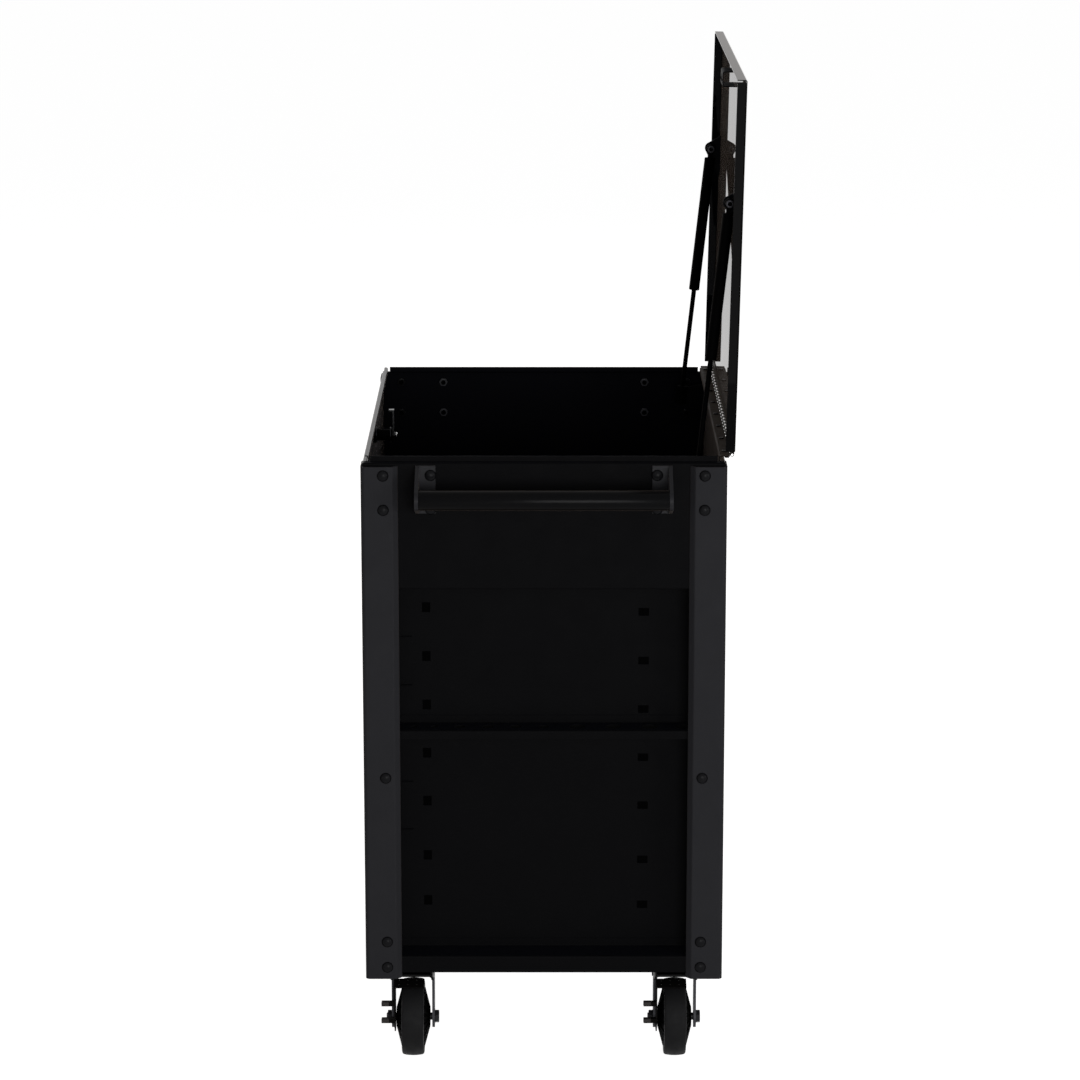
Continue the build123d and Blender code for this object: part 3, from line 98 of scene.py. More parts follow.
cabinet_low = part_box("front_right_post")[0]
cabinet_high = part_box("rear_right_post")[1]
centre_y = (cabinet_low.y + cabinet_high.y) / 2
print("middle plane of the cabinet: y =", round(centre_y, 5))
print("loose solids among the post bolts:", len(loose_boxes("post_bolts")))

# %% [markdown]
# ## Finishes
#
# Almost everything here is black, so the finishes have to differ by more than colour. Powder
# coat has a fine pebbled skin, the posts are a lighter satin grey, the lid is as glossy as a
# mirror, plated metal is faintly cloudy, and rubber is matt. Each finish is a small tree of nodes
# on Object coordinates: one noise for the grain, one broad noise for the uneven gloss that
# handling leaves, and a Bevel node that rounds the folded edges so that they catch the light.
#
# A sheet can have a second colour on the side that looks into the chest, and a warm bloom that
# shows where it is seen almost edge-on. On the front wall that second colour is painted light: its
# inner face is painted far lighter than its paint, for the light that falls into the till from the right.


# %% Small helpers for building a finish
def new_finish(name):
    """An empty material with its shader and its object coordinates."""
    finish = bpy.data.materials.new(name)
    finish.use_nodes = True
    tree = finish.node_tree
    shader = tree.nodes["Principled BSDF"]
    place = tree.nodes.new("ShaderNodeTexCoord").outputs["Object"]
    return finish, tree, shader, place


def noise(tree, place, scale, detail=3.0, roughness=0.55):
    """A cloud of values about 0.5 whose lumps are about 1 / scale metres across."""
    cloud = tree.nodes.new("ShaderNodeTexNoise")
    cloud.inputs["Scale"].default_value = scale
    cloud.inputs["Detail"].default_value = detail
    cloud.inputs["Roughness"].default_value = roughness
    tree.links.new(place, cloud.inputs["Vector"])
    return cloud.outputs["Fac"]


def spread(tree, value, low, high, start=0.3, end=0.7):
    """Maps a cloud to a range of numbers."""
    ramp = tree.nodes.new("ShaderNodeMapRange")
    ramp.inputs["From Min"].default_value = start
    ramp.inputs["From Max"].default_value = end
    ramp.inputs["To Min"].default_value = low
    ramp.inputs["To Max"].default_value = high
    tree.links.new(value, ramp.inputs["Value"])
    return ramp.outputs["Result"]


def tint(tree, value, dark, light):
    """Mixes two colours by a value."""
    mix = tree.nodes.new("ShaderNodeMix")
    mix.data_type = "RGBA"
    mix.inputs["A"].default_value = (*dark, 1.0)
    mix.inputs["B"].default_value = (*light, 1.0)
    tree.links.new(value, mix.inputs["Factor"])
    return mix.outputs["Result"]


def mixed(tree, value, first, second):
    """Mixes two colours that other nodes give."""
    mix = tree.nodes.new("ShaderNodeMix")
    mix.data_type = "RGBA"
    tree.links.new(first, mix.inputs["A"])
    tree.links.new(second, mix.inputs["B"])
    tree.links.new(value, mix.inputs["Factor"])
    return mix.outputs["Result"]


def shade(colour, factor):
    """A lighter or darker colour of the same hue."""
    return tuple(channel * factor for channel in colour)


def round_edges(tree, radius):
    """A normal that rolls over sharp edges, as a folded or cast edge does."""
    bevel = tree.nodes.new("ShaderNodeBevel")
    bevel.samples = 6
    bevel.inputs["Radius"].default_value = radius
    return bevel.outputs["Normal"]


def grain(tree, shader, height, strength, depth, normal=None):
    """Feeds a height into the shader's normal."""
    bump = tree.nodes.new("ShaderNodeBump")
    bump.inputs["Strength"].default_value = strength
    bump.inputs["Distance"].default_value = depth
    tree.links.new(height, bump.inputs["Height"])
    if normal is not None:
        tree.links.new(normal, bump.inputs["Normal"])
    tree.links.new(bump.outputs["Normal"], shader.inputs["Normal"])


# %% Powder coat, the finish of nearly every sheet
WARM_BLOOM = (1.0, 0.80, 0.66)


def faces_out(tree, place):
    """1 on faces that look away from the middle of the cabinet, and 0 on faces that look into it."""
    level = tree.nodes.new("ShaderNodeMapping")
    level.inputs["Location"].default_value = (0.0, -centre_y, 0.0)
    level.inputs["Scale"].default_value = (1.0, 1.0, 0.0)
    tree.links.new(place, level.inputs["Vector"])
    away = tree.nodes.new("ShaderNodeVectorMath")
    away.operation = "DOT_PRODUCT"
    tree.links.new(level.outputs["Vector"], away.inputs[0])
    tree.links.new(place.node.outputs["Normal"], away.inputs[1])
    side = tree.nodes.new("ShaderNodeMath")
    side.operation = "GREATER_THAN"
    side.inputs[1].default_value = 0.02
    tree.links.new(away.outputs["Value"], side.inputs[0])
    return side.outputs[0]


def powder_coat(name, colour, gloss, specular, inner=None, bloom=0.0, pebble=700.0, relief=0.12,
                edge=0.7 * MM):
    """Baked paint: a pebbled skin, uneven gloss, and a warm bloom where it is seen edge-on."""
    finish, tree, shader, place = new_finish(name)
    cloud = noise(tree, place, 9.0, 4.0)
    handled = noise(tree, place, 26.0)
    paint = tint(tree, cloud, shade(colour, 0.90), shade(colour, 1.12))
    # The colour of the faces that look into the chest; on the front wall this is painted light.
    if inner is not None:
        lining_or_painted_light = tint(tree, cloud, shade(inner, 0.90), shade(inner, 1.12))
        paint = mixed(tree, faces_out(tree, place), lining_or_painted_light, paint)
    tree.links.new(paint, shader.inputs["Base Color"])
    tree.links.new(spread(tree, handled, gloss * 0.90, gloss * 1.12), shader.inputs["Roughness"])
    shader.inputs["Specular IOR Level"].default_value = specular
    shader.inputs["Sheen Weight"].default_value = bloom
    shader.inputs["Sheen Roughness"].default_value = 0.40
    shader.inputs["Sheen Tint"].default_value = (*WARM_BLOOM, 1.0)
    grain(tree, shader, noise(tree, place, pebble, 2.0), relief, 0.2 * MM, round_edges(tree, edge))
    return finish


def cool(level):
    """A grey with a trace of blue, which is what this black paint shows in the light."""
    return (level, level, level * 1.12)


def navy(level):
    """The darker and bluer paint inside the till and the lid."""
    return (level, level * 1.04, level * 1.45)


post_paint = powder_coat("satin_post_coat", cool(0.0186), 0.60, 0.03, bloom=0.02, edge=2.0 * MM)
body_paint = powder_coat("black_sheet_coat", cool(0.0029), 0.50, 0.012, navy(0.0042), relief=0.06)
back_paint = powder_coat("back_sheet_coat", cool(0.0029), 0.50, 0.012, navy(0.0040), 0.10, relief=0.06)
# Painted light: the front wall's inner face is about twenty times lighter than its outer paint, for the lamp
# light that falls into the till from the right.
front_paint = powder_coat("front_sheet_painted_light_lining", cool(0.0029), 0.14, 0.05, cool(0.0700), 0.05, relief=0.0)
lid_paint = powder_coat("glossy_lid_coat", cool(0.0020), 0.01, 0.006, navy(0.0030), 0.11, relief=0.0,
                        edge=0.3 * MM)
drawer_paint = powder_coat("drawer_coat", cool(0.0060), 0.40, 0.05, bloom=0.03, relief=0.06)
handle_paint = powder_coat("handle_coat", cool(0.0170), 0.42, 0.05, bloom=0.02)
grip_paint = powder_coat("grip_coat", cool(0.0034), 0.20, 0.025, bloom=0.04, relief=0.05)
bracket_paint = powder_coat("bracket_coat", navy(0.0022), 0.50, 0.02)
strut_paint = powder_coat("strut_enamel", cool(0.0006), 0.60, 0.006, relief=0.03)
bolt_black = powder_coat("black_oxide", cool(0.0075), 0.26, 0.03, pebble=1500.0, relief=0.05, edge=0.2 * MM)
nut_plate = powder_coat("grey_nut_plate", cool(0.0450), 0.40, 0.10, pebble=1500.0, relief=0.05, edge=0.3 * MM)
rod_black = powder_coat("nitrided_rod", cool(0.0006), 0.55, 0.006, pebble=1800.0, relief=0.02, edge=0.3 * MM)
slide_dark = powder_coat("dark_slide_coat", cool(0.0006), 0.55, 0.004, relief=0.03)
axle_black = powder_coat("black_axle_plate", cool(0.0130), 0.34, 0.10, pebble=1200.0, relief=0.03,
                         edge=0.3 * MM)
lever_brown = powder_coat("dark_lever_plate", (0.0030, 0.0026, 0.0024), 0.50, 0.02, pebble=1200.0,
                          relief=0.05)
pad_grey = powder_coat("worn_pad_plate", (0.0330, 0.0300, 0.0290), 0.50, 0.06, pebble=1200.0,
                       relief=0.05)
print("painted finishes:", 17)


# %% Forks: grey plating on the legs, with painted shade on the top of the crown
SHADED_CROWN_BAND = 14.0 * MM


def fork_plate(name, leg, crown):
    """Grey plating on the legs, with the top of the crown painted black as painted shade under the tray's
    lip.
    """
    finish, tree, shader, place = new_finish(name)
    parts = tree.nodes.new("ShaderNodeSeparateXYZ")
    tree.links.new(place, parts.inputs[0])
    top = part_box("front_rigid_fork")[1].z
    # Painted shade: 1 in a band at the top of the crown, which the lip of the bottom tray shades, and 0 on
    # the legs.
    crown_shade_mask = spread(tree, parts.outputs["Z"], 0.0, 1.0, top - SHADED_CROWN_BAND - 6.0 * MM, top - SHADED_CROWN_BAND)
    cloud = noise(tree, place, 40.0, 4.0)
    leg_or_knuckle_tone = tint(tree, cloud, shade(leg, 0.85), shade(leg, 1.15))
    black = tint(tree, cloud, shade(crown, 0.90), shade(crown, 1.10))
    tree.links.new(mixed(tree, crown_shade_mask, leg_or_knuckle_tone, black), shader.inputs["Base Color"])
    tree.links.new(spread(tree, noise(tree, place, 26.0), 0.30, 0.40), shader.inputs["Roughness"])
    shader.inputs["Specular IOR Level"].default_value = 0.06
    grain(tree, shader, noise(tree, place, 1200.0, 2.0), 0.03, 0.2 * MM, round_edges(tree, 0.8 * MM))
    return finish


# The black top band of each crown is painted shade under the tray, not the colour of the plating.
fork_black = fork_plate("fork_plate_shaded_crown", cool(0.0480), cool(0.0012))
# The print below gives the height of that band of painted shade.
print("the crowns are black in their top", round(SHADED_CROWN_BAND / MM), "mm")


# %% Plated metal
def plated(name, colour, gloss, cloudy=60.0, edge=0.4 * MM):
    """Plated metal with a cloudy bloom and a fine grain."""
    finish, tree, shader, place = new_finish(name)
    shader.inputs["Metallic"].default_value = 1.0
    cloud = spread(tree, noise(tree, place, cloudy, 5.0), 0.0, 1.0)
    tree.links.new(tint(tree, cloud, shade(colour, 0.82), colour), shader.inputs["Base Color"])
    smear = noise(tree, place, cloudy * 3)
    tree.links.new(spread(tree, smear, gloss * 0.8, gloss * 1.25), shader.inputs["Roughness"])
    grain(tree, shader, noise(tree, place, 1800.0, 2.0), 0.05, 0.1 * MM, round_edges(tree, edge))
    return finish


hinge_steel = plated("hinge_plate", (0.75, 0.74, 0.72), 0.30)
lock_plate = plated("lock_plate", (0.024, 0.024, 0.025), 0.28, cloudy=200.0, edge=0.2 * MM)
screw_steel = plated("screw_plate", (0.45, 0.45, 0.45), 0.30, cloudy=200.0, edge=0.2 * MM)
stud_steel = plated("dull_stud", (0.030, 0.029, 0.028), 0.35, cloudy=200.0, edge=0.2 * MM)
clip_steel = plated("clip_plate", (0.016, 0.016, 0.018), 0.35, cloudy=200.0, edge=0.2 * MM)


# %% Hinge leaves: painted flats, and knuckle tops with a painted highlight or painted shade
KNUCKLE_REACH = 3.3 * MM
KNUCKLE_CROWN = 0.84


def hinge_leaf(name, paint, painted_highlight_or_shade, metal):
    """Paint on the flat of a leaf, and on the tops of the knuckles round the pin a painted highlight of
    bright metal, or painted shade in darker paint.
    """
    finish, tree, shader, place = new_finish(name)
    pin = middle("hinge_pin")
    from_pin = tree.nodes.new("ShaderNodeMapping")
    from_pin.inputs["Location"].default_value = (0.0, -pin.y, -pin.z)
    from_pin.inputs["Scale"].default_value = (0.0, 1.0, 1.0)
    tree.links.new(place, from_pin.inputs["Vector"])
    away = tree.nodes.new("ShaderNodeVectorMath")
    away.operation = "LENGTH"
    tree.links.new(from_pin.outputs["Vector"], away.inputs[0])
    near = tree.nodes.new("ShaderNodeMath")
    near.operation = "LESS_THAN"
    near.inputs[1].default_value = KNUCKLE_REACH
    tree.links.new(away.outputs["Value"], near.inputs[0])
    facing = tree.nodes.new("ShaderNodeSeparateXYZ")
    tree.links.new(place.node.outputs["Normal"], facing.inputs[0])
    # Only the upward tops of the knuckles get the second finish: the painted highlight or the painted shade.
    upward = spread(tree, facing.outputs["Z"], 0.0, 1.0, KNUCKLE_CROWN - 0.05, KNUCKLE_CROWN + 0.05)
    knuckle = tree.nodes.new("ShaderNodeMath")
    knuckle.operation = "MULTIPLY"
    tree.links.new(near.outputs[0], knuckle.inputs[0])
    tree.links.new(upward, knuckle.inputs[1])
    cloud = noise(tree, place, 60.0, 4.0)
    flat = tint(tree, cloud, shade(paint, 0.85), shade(paint, 1.15))
    leg_or_knuckle_tone = tint(tree, cloud, shade(painted_highlight_or_shade, 0.85), painted_highlight_or_shade)
    tree.links.new(mixed(tree, knuckle.outputs[0], flat, leg_or_knuckle_tone), shader.inputs["Base Color"])
    if metal:
        tree.links.new(knuckle.outputs[0], shader.inputs["Metallic"])
    tree.links.new(spread(tree, noise(tree, place, 120.0), 0.30, 0.45), shader.inputs["Roughness"])
    shader.inputs["Specular IOR Level"].default_value = 0.004
    shader.inputs["Sheen Weight"].default_value = 0.06
    shader.inputs["Sheen Tint"].default_value = (*WARM_BLOOM, 1.0)
    grain(tree, shader, noise(tree, place, 1500.0, 2.0), 0.04, 0.1 * MM, round_edges(tree, 0.2 * MM))
    return finish


# The lower leaf's bright metal knuckle tops are a painted highlight, and the upper leaf's darker knuckle tops
# are painted shade; together they paint the row of bright dashes along the pin.
lower_leaf = hinge_leaf("lower_leaf_coat", (0.0024, 0.0020, 0.0018), (0.80, 0.79, 0.77), True)
upper_leaf = hinge_leaf("upper_leaf_coat", (0.0024, 0.0020, 0.0018), (0.0008, 0.0007, 0.0006), False)
# Within this distance of the pin the knuckle tops carry the painted highlight or painted shade.
print("knuckles are bare within", round(KNUCKLE_REACH / MM, 1), "mm of the pin")


# %% Rubber for the wheels
def rubber(name, colour, specular):
    """Solid rubber: matt, dusty in broad patches, with a fine moulded tooth."""
    finish, tree, shader, place = new_finish(name)
    dust = spread(tree, noise(tree, place, 30.0, 5.0), 0.0, 1.0)
    tree.links.new(tint(tree, dust, colour, shade(colour, 1.3)), shader.inputs["Base Color"])
    tree.links.new(spread(tree, noise(tree, place, 80.0), 0.50, 0.68), shader.inputs["Roughness"])
    shader.inputs["Specular IOR Level"].default_value = specular
    grain(tree, shader, noise(tree, place, 1400.0, 2.0), 0.10, 0.2 * MM, round_edges(tree, 0.6 * MM))
    return finish


wheel_rubber = rubber("solid_rubber", (0.0066, 0.0066, 0.0070), 0.06)
wheel_core = rubber("moulded_core", (0.0004, 0.0004, 0.0004), 0.004)

# %% Give every solid the finish of its slot
finishes = {
    "post_paint": post_paint,
    "body_paint": body_paint,
    "lid_paint": lid_paint,
    "drawer_paint": drawer_paint,
    "handle_paint": handle_paint,
    "bracket_paint": bracket_paint,
    "strut_paint": strut_paint,
    "fastener_black": bolt_black,
    "fork_black": fork_black,
    "slide_dark": slide_dark,
    "hinge_steel": hinge_steel,
    "brake_steel": lever_brown,
    "rod_black": rod_black,
    "wheel_rubber": wheel_rubber,
}
slot_of = {piece["node"]: piece["material_slot"] for piece in frame["record"]["subparts"]}
for node, solid in nodes.items():
    solid.data.materials.clear()
    solid.data.materials.append(finishes[slot_of[node]])
nodes["lock_cam"].data.materials[0] = lock_plate
nodes["lid_strike"].data.materials[0] = bracket_paint
nodes["hinge_lower_leaf"].data.materials[0] = lower_leaf
nodes["hinge_upper_leaf"].data.materials[0] = upper_leaf
nodes["hinge_screws"].data.materials[0] = bolt_black
nodes["back_panel"].data.materials[0] = back_paint
nodes["front_wall"].data.materials[0] = front_paint
print("finished solids:", len(slot_of))

# %% [markdown]
# ## Modelling by hand, in code
#
# The next cells work the way a person does at the screen: add a primitive, go into edit mode,
# pick faces or edges, and extrude, inset, bevel or scale them. In a script nobody clicks, so a
# face is picked by its place and by the way it faces. Everything is deselected first, because
# an operator acts on all that is selected.


# %% Helpers for picking, copying and joining
def deselect_all():
    """Leaves edit mode and drops the selection."""
    if bpy.context.object is not None and bpy.context.object.mode != "OBJECT":
        bpy.ops.object.mode_set(mode="OBJECT")
    bpy.ops.object.select_all(action="DESELECT")


def taken(name):
    """Takes the primitive that was just added as a piece, with its place in its mesh."""
    piece = bpy.context.object
    piece.name = name
    bpy.ops.object.transform_apply(location=True, rotation=True, scale=True)
    return piece


def pick_faces(piece, test):
    """Goes into edit mode with only the faces selected whose middle and normal pass a test."""
    bpy.ops.object.mode_set(mode="EDIT")
    bpy.ops.mesh.select_mode(type="FACE")
    bpy.ops.mesh.select_all(action="DESELECT")
    bpy.ops.object.mode_set(mode="OBJECT")
    for face in piece.data.polygons:
        face.select = test(face.center, face.normal)
    bpy.ops.object.mode_set(mode="EDIT")


def pick_edges(piece, test):
    """Goes into edit mode with only the edges selected whose two ends pass a test."""
    bpy.ops.object.mode_set(mode="EDIT")
    bpy.ops.mesh.select_mode(type="EDGE")
    bpy.ops.mesh.select_all(action="DESELECT")
    bpy.ops.object.mode_set(mode="OBJECT")
    points = piece.data.vertices
    for edge in piece.data.edges:
        edge.select = test(points[edge.vertices[0]].co, points[edge.vertices[1]].co)
    bpy.ops.object.mode_set(mode="EDIT")


def push(x, y, z):
    """Extrudes what is selected by a distance."""
    bpy.ops.mesh.extrude_region_move(TRANSFORM_OT_translate={"value": (x, y, z)})


def smoothed(piece, degrees=35.0):
    """Leaves edit mode and shades the piece smooth, apart from its sharp edges."""
    deselect_all()
    piece.select_set(True)
    bpy.context.view_layer.objects.active = piece
    bpy.ops.object.shade_smooth_by_angle(angle=math.radians(degrees))
    return piece


def placed_copy(model, name, place, turn=Matrix()):
    """A copy with its own mesh, turned and moved to its place in that mesh."""
    twin = model.copy()
    twin.data = model.data.copy()
    twin.name = name
    bpy.context.collection.objects.link(twin)
    twin.data.transform(Matrix.Translation(place) @ turn)
    return twin


def joined(name, pieces):
    """Joins pieces into the first of them."""
    deselect_all()
    for piece in pieces:
        piece.select_set(True)
    bpy.context.view_layer.objects.active = pieces[0]
    bpy.ops.object.join()
    pieces[0].name = name
    return pieces[0]


def dressed(piece, finish, slot, body, *replaced):
    """Gives a finished piece its finish, its body and the nodes that it stands for."""
    if finish is not None:
        piece.data.materials.clear()
        piece.data.materials.append(finish)
    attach(piece, body)
    if replaced:
        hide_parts(*replaced)
    return piece


def combined(piece, tool, operation):
    """Applies a Boolean with a second mesh, which is then thrown away."""
    deselect_all()
    bpy.context.view_layer.objects.active = piece
    piece.select_set(True)
    cut = piece.modifiers.new("cut", "BOOLEAN")
    cut.operation = operation
    cut.object = tool
    bpy.ops.object.modifier_apply(modifier=cut.name)
    bpy.data.objects.remove(tool)
    return piece


# %% [markdown]
# ## Wheels
#
# Each wheel is a solid rubber tyre on a moulded core. The tread is crowned, so its edges stand
# a little clear of the floor, and both flanks are cones with radial ribs that run out to a wide
# hub. A spun profile would give the crown but not the ribs, so the wheel starts as a cylinder:
# bisecting it adds rings that are scaled to the crown, the ends are inset and drawn out into
# cones, and every second strip of a cone is raised into a rib.

# %% Model one wheel round the Y axis
low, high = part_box("front_rigid_wheel")
WHEEL_RADIUS = (high.z - low.z) / 2
HUB_HALF = (high.y - low.y) / 2
TREAD_HALF = 18.0 * MM
TREAD_CROWN = 2.2 * MM
SHOULDER = 3.0 * MM
RIM_BAND = 14.0 * MM
HUB_RADIUS = 17.0 * MM
RIB_RISE = 1.2 * MM
RIB_COUNT = 24
SIDES_PER_RIB = 4
AXLE_BORE = 6.5 * MM
HUB_STUB = 0.3 * MM
RING_STEPS = (-0.75, -0.5, -0.25, 0.0, 0.25, 0.5, 0.75)


def cut_ring(y):
    """Cuts a new ring of edges round the wheel, which is the active object."""
    bpy.ops.object.mode_set(mode="EDIT")
    bpy.ops.mesh.select_all(action="SELECT")
    bpy.ops.mesh.bisect(plane_co=(0.0, y, 0.0), plane_no=(0.0, 1.0, 0.0))


def scale_ring(piece, y, factor):
    """Scales a ring about the axle."""
    pick_edges(piece, lambda a, b: max(abs(a.y - y), abs(b.y - y)) < 0.1 * MM)
    bpy.ops.transform.resize(value=(factor, 1.0, factor), center_override=(0.0, 0.0, 0.0))


def shape_flank(piece, side):
    """Draws one end of the cylinder out into a rim band, a cone and a hub."""
    pick_faces(piece, lambda at, facing: facing.y * side > 0.9)
    bpy.ops.mesh.inset(thickness=RIM_BAND)
    cone_foot = HUB_HALF - HUB_STUB - RIB_RISE
    push(0.0, side * (cone_foot - TREAD_HALF), 0.0)
    foot = HUB_RADIUS / (WHEEL_RADIUS - TREAD_CROWN - RIM_BAND)
    bpy.ops.transform.resize(value=(foot, 1.0, foot), center_override=(0.0, side * cone_foot, 0.0))
    push(0.0, side * (HUB_HALF - cone_foot), 0.0)
    bpy.ops.mesh.inset(thickness=HUB_RADIUS - AXLE_BORE)


def on_cone(at, facing):
    """True for the sloping faces between the rim band and the hub."""
    away = math.hypot(at.x, at.z)
    slope = math.hypot(facing.x, facing.z)
    return HUB_RADIUS * 1.05 < away < WHEEL_RADIUS - RIM_BAND and 0.05 < slope < 0.9


def on_rib(at, facing):
    """True for two of every four strips of a cone."""
    strip = int(math.atan2(at.z, at.x) / (2 * math.pi) * RIB_COUNT * SIDES_PER_RIB + 1000.5)
    return on_cone(at, facing) and strip % SIDES_PER_RIB < SIDES_PER_RIB // 2


def wheel_model():
    """The whole wheel at the origin."""
    deselect_all()
    shoulder = WHEEL_RADIUS - TREAD_CROWN
    bpy.ops.mesh.primitive_cylinder_add(vertices=RIB_COUNT * SIDES_PER_RIB, radius=shoulder,
                                        depth=2 * TREAD_HALF, rotation=(math.pi / 2, 0.0, 0.0))
    wheel = taken("wheel_model")
    for step in RING_STEPS:
        cut_ring(step * TREAD_HALF)
    for step in RING_STEPS:
        crown = TREAD_CROWN * (1 - step * step)
        scale_ring(wheel, step * TREAD_HALF, 1 + crown / shoulder)
    for side in (1, -1):
        shape_flank(wheel, side)
    pick_edges(wheel, lambda a, b: abs(a.y - b.y) < 0.1 * MM and abs(abs(a.y) - TREAD_HALF) < 0.1 * MM
               and math.hypot(a.x, a.z) > WHEEL_RADIUS - 2 * TREAD_CROWN
               and math.hypot(b.x, b.z) > WHEEL_RADIUS - 2 * TREAD_CROWN)
    bpy.ops.mesh.bevel(offset=SHOULDER, segments=4)
    pick_faces(wheel, lambda at, facing: abs(facing.y) > 0.9 and math.hypot(at.x, at.z) < AXLE_BORE / 2)
    bpy.ops.mesh.delete(type="FACE")
    pick_edges(wheel, lambda a, b: max(math.hypot(a.x, a.z), math.hypot(b.x, b.z)) < AXLE_BORE * 1.01)
    bpy.ops.mesh.bridge_edge_loops()
    pick_faces(wheel, on_rib)
    bpy.ops.mesh.extrude_region_shrink_fatten(TRANSFORM_OT_shrink_fatten={"value": RIB_RISE})
    return smoothed(wheel)


wheel = wheel_model()
print("faces in one wheel:", len(wheel.data.polygons))

# %% Tyre on the tread, core on the flanks, and a copy for each axle
wheel.data.materials.clear()
wheel.data.materials.append(wheel_rubber)
wheel.data.materials.append(wheel_core)
for face in wheel.data.polygons:
    tyre = math.hypot(face.center.x, face.center.z) > WHEEL_RADIUS - TREAD_CROWN - RIM_BAND
    face.material_index = 0 if tyre else 1
for end in ("front", "rear"):
    for kind in ("rigid", "swivel"):
        node = f"{end}_{kind}_wheel"
        tyre = placed_copy(wheel, f"{end}_{kind}_tyre", middle(node))
        dressed(tyre, None, "wheel_rubber", f"{end}_{kind}_roller", node)
bpy.data.objects.remove(wheel)

# %% [markdown]
# ## Bolts and nuts
#
# The posts and the handles are held by carriage bolts: a smooth dome outside, and a nut on the
# tail inside. A dome is half of a flattened ball, so a sphere is bisected, widened into a thin
# collar where it meets the post, and drawn out into its shank. The collar and the shank take a
# near-black finish, and on the collar that is painted shade, the shadow gap round the foot of the
# dome. A nut is a hexagon whose corners are turned round: a Boolean with a bevelled disc does what
# the lathe does, and a second one cuts the hole.
# The nuts of the handle are plain grey, and those of the posts are as black as their bolts.

# %% Model the domed bolt and the nut
HEAD_RADIUS = 8.3 * MM
HEAD_HEIGHT = 4.6 * MM
COLLAR_RADIUS = 9.1 * MM
COLLAR_HEIGHT = 0.5 * MM
BOLT_RADIUS = 4.0 * MM


def domed_bolt(length):
    """A carriage bolt along Z, with its head standing on Z = 0."""
    deselect_all()
    bpy.ops.mesh.primitive_uv_sphere_add(segments=48, ring_count=32, radius=HEAD_RADIUS,
                                         scale=(1.0, 1.0, HEAD_HEIGHT / HEAD_RADIUS))
    bolt = taken("bolt_model")
    bpy.ops.object.mode_set(mode="EDIT")
    bpy.ops.mesh.select_all(action="SELECT")
    bpy.ops.mesh.bisect(plane_co=(0.0, 0.0, COLLAR_HEIGHT), plane_no=(0.0, 0.0, 1.0),
                        clear_inner=True, use_fill=True)
    pick_faces(bolt, lambda at, facing: facing.z < -0.9)
    push(0.0, 0.0, 0.0)
    wide = COLLAR_RADIUS / HEAD_RADIUS
    bpy.ops.transform.resize(value=(wide, wide, 1.0), center_override=(0.0, 0.0, COLLAR_HEIGHT))
    push(0.0, 0.0, -COLLAR_HEIGHT)
    bpy.ops.mesh.inset(thickness=COLLAR_RADIUS - BOLT_RADIUS)
    push(0.0, 0.0, -length)
    return smoothed(bolt)


def turned_disc(radius, height, bevel):
    """A disc with its two rims bevelled, which is the turned outline of a nut."""
    deselect_all()
    bpy.ops.mesh.primitive_cylinder_add(vertices=48, radius=radius, depth=height,
                                        location=(0.0, 0.0, height / 2))
    disc = taken("disc_tool")
    pick_edges(disc, lambda a, b: abs(a.z - b.z) < 0.01 * MM)
    bpy.ops.mesh.bevel(offset=bevel, segments=2)
    deselect_all()
    return disc


def hex_nut(across, height, bore):
    """A nut standing on Z = 0. With no bore it is the head of a hexagon bolt."""
    corner = across / math.sqrt(3.0)
    deselect_all()
    bpy.ops.mesh.primitive_cylinder_add(vertices=6, radius=corner, depth=height,
                                        location=(0.0, 0.0, height / 2))
    nut = taken("nut_model")
    combined(nut, turned_disc(corner * 0.995, height, (corner - across / 2) * 0.9), "INTERSECT")
    if bore:
        deselect_all()
        bpy.ops.mesh.primitive_cylinder_add(vertices=32, radius=bore, depth=3 * height)
        combined(nut, taken("bore_tool"), "DIFFERENCE")
    return smoothed(nut, 25.0)


print("a bolt's head is", round(2 * COLLAR_RADIUS / MM, 1), "mm across with its collar")

# %% Put a bolt or a nut on every place that the solids give
NUT_ACROSS = 13.0 * MM
NUT_HEIGHT = 6.0 * MM


def outward(side):
    """Turns +Z to point out of the right end (1) or the left end (-1)."""
    return Matrix.Rotation(side * math.pi / 2, 4, "Y")


def fastener_model(is_bolt, long, nut_finish):
    """A domed bolt with its collar painted near-black as painted shade, or a nut, ready to be copied."""
    model = domed_bolt(long - HEAD_HEIGHT) if is_bolt else hex_nut(NUT_ACROSS, NUT_HEIGHT, BOLT_RADIUS)
    model.data.materials.clear()
    model.data.materials.append(bolt_black if is_bolt else nut_finish)
    model.data.materials.append(rod_black)
    for face in model.data.polygons:
        # The collar and the shank get the near-black finish; on the collar it is painted shade, the shadow
        # gap round the dome.
        face.material_index = int(is_bolt and face.center.z <= COLLAR_HEIGHT)
    return model


def bolted(name, node, nut_finish):
    """One piece with all the bolts and nuts of a node that lie along X."""
    models = {}
    pieces = []
    for low, high in loose_boxes(node):
        place = (low + high) / 2
        side = 1 if place.x > 0 else -1
        is_bolt = high.y - low.y > 1.2 * NUT_ACROSS
        long = round(high.x - low.x, 5)
        if long not in models:
            models[long] = fastener_model(is_bolt, long, nut_finish)
        reach = long / 2 - HEAD_HEIGHT if is_bolt else -NUT_HEIGHT / 2
        place.x += side * reach
        pieces.append(placed_copy(models[long], name, place, outward(side)))
    for model in models.values():
        bpy.data.objects.remove(model)
    print(name, "pieces:", len(pieces))
    return joined(name, pieces)


for group, nut_finish in (("post", bolt_black), ("handle", nut_plate)):
    fasteners = bolted(f"{group}_fasteners", f"{group}_bolts", nut_finish)
    dressed(fasteners, None, "fastener_black", "cabinet", f"{group}_bolts")

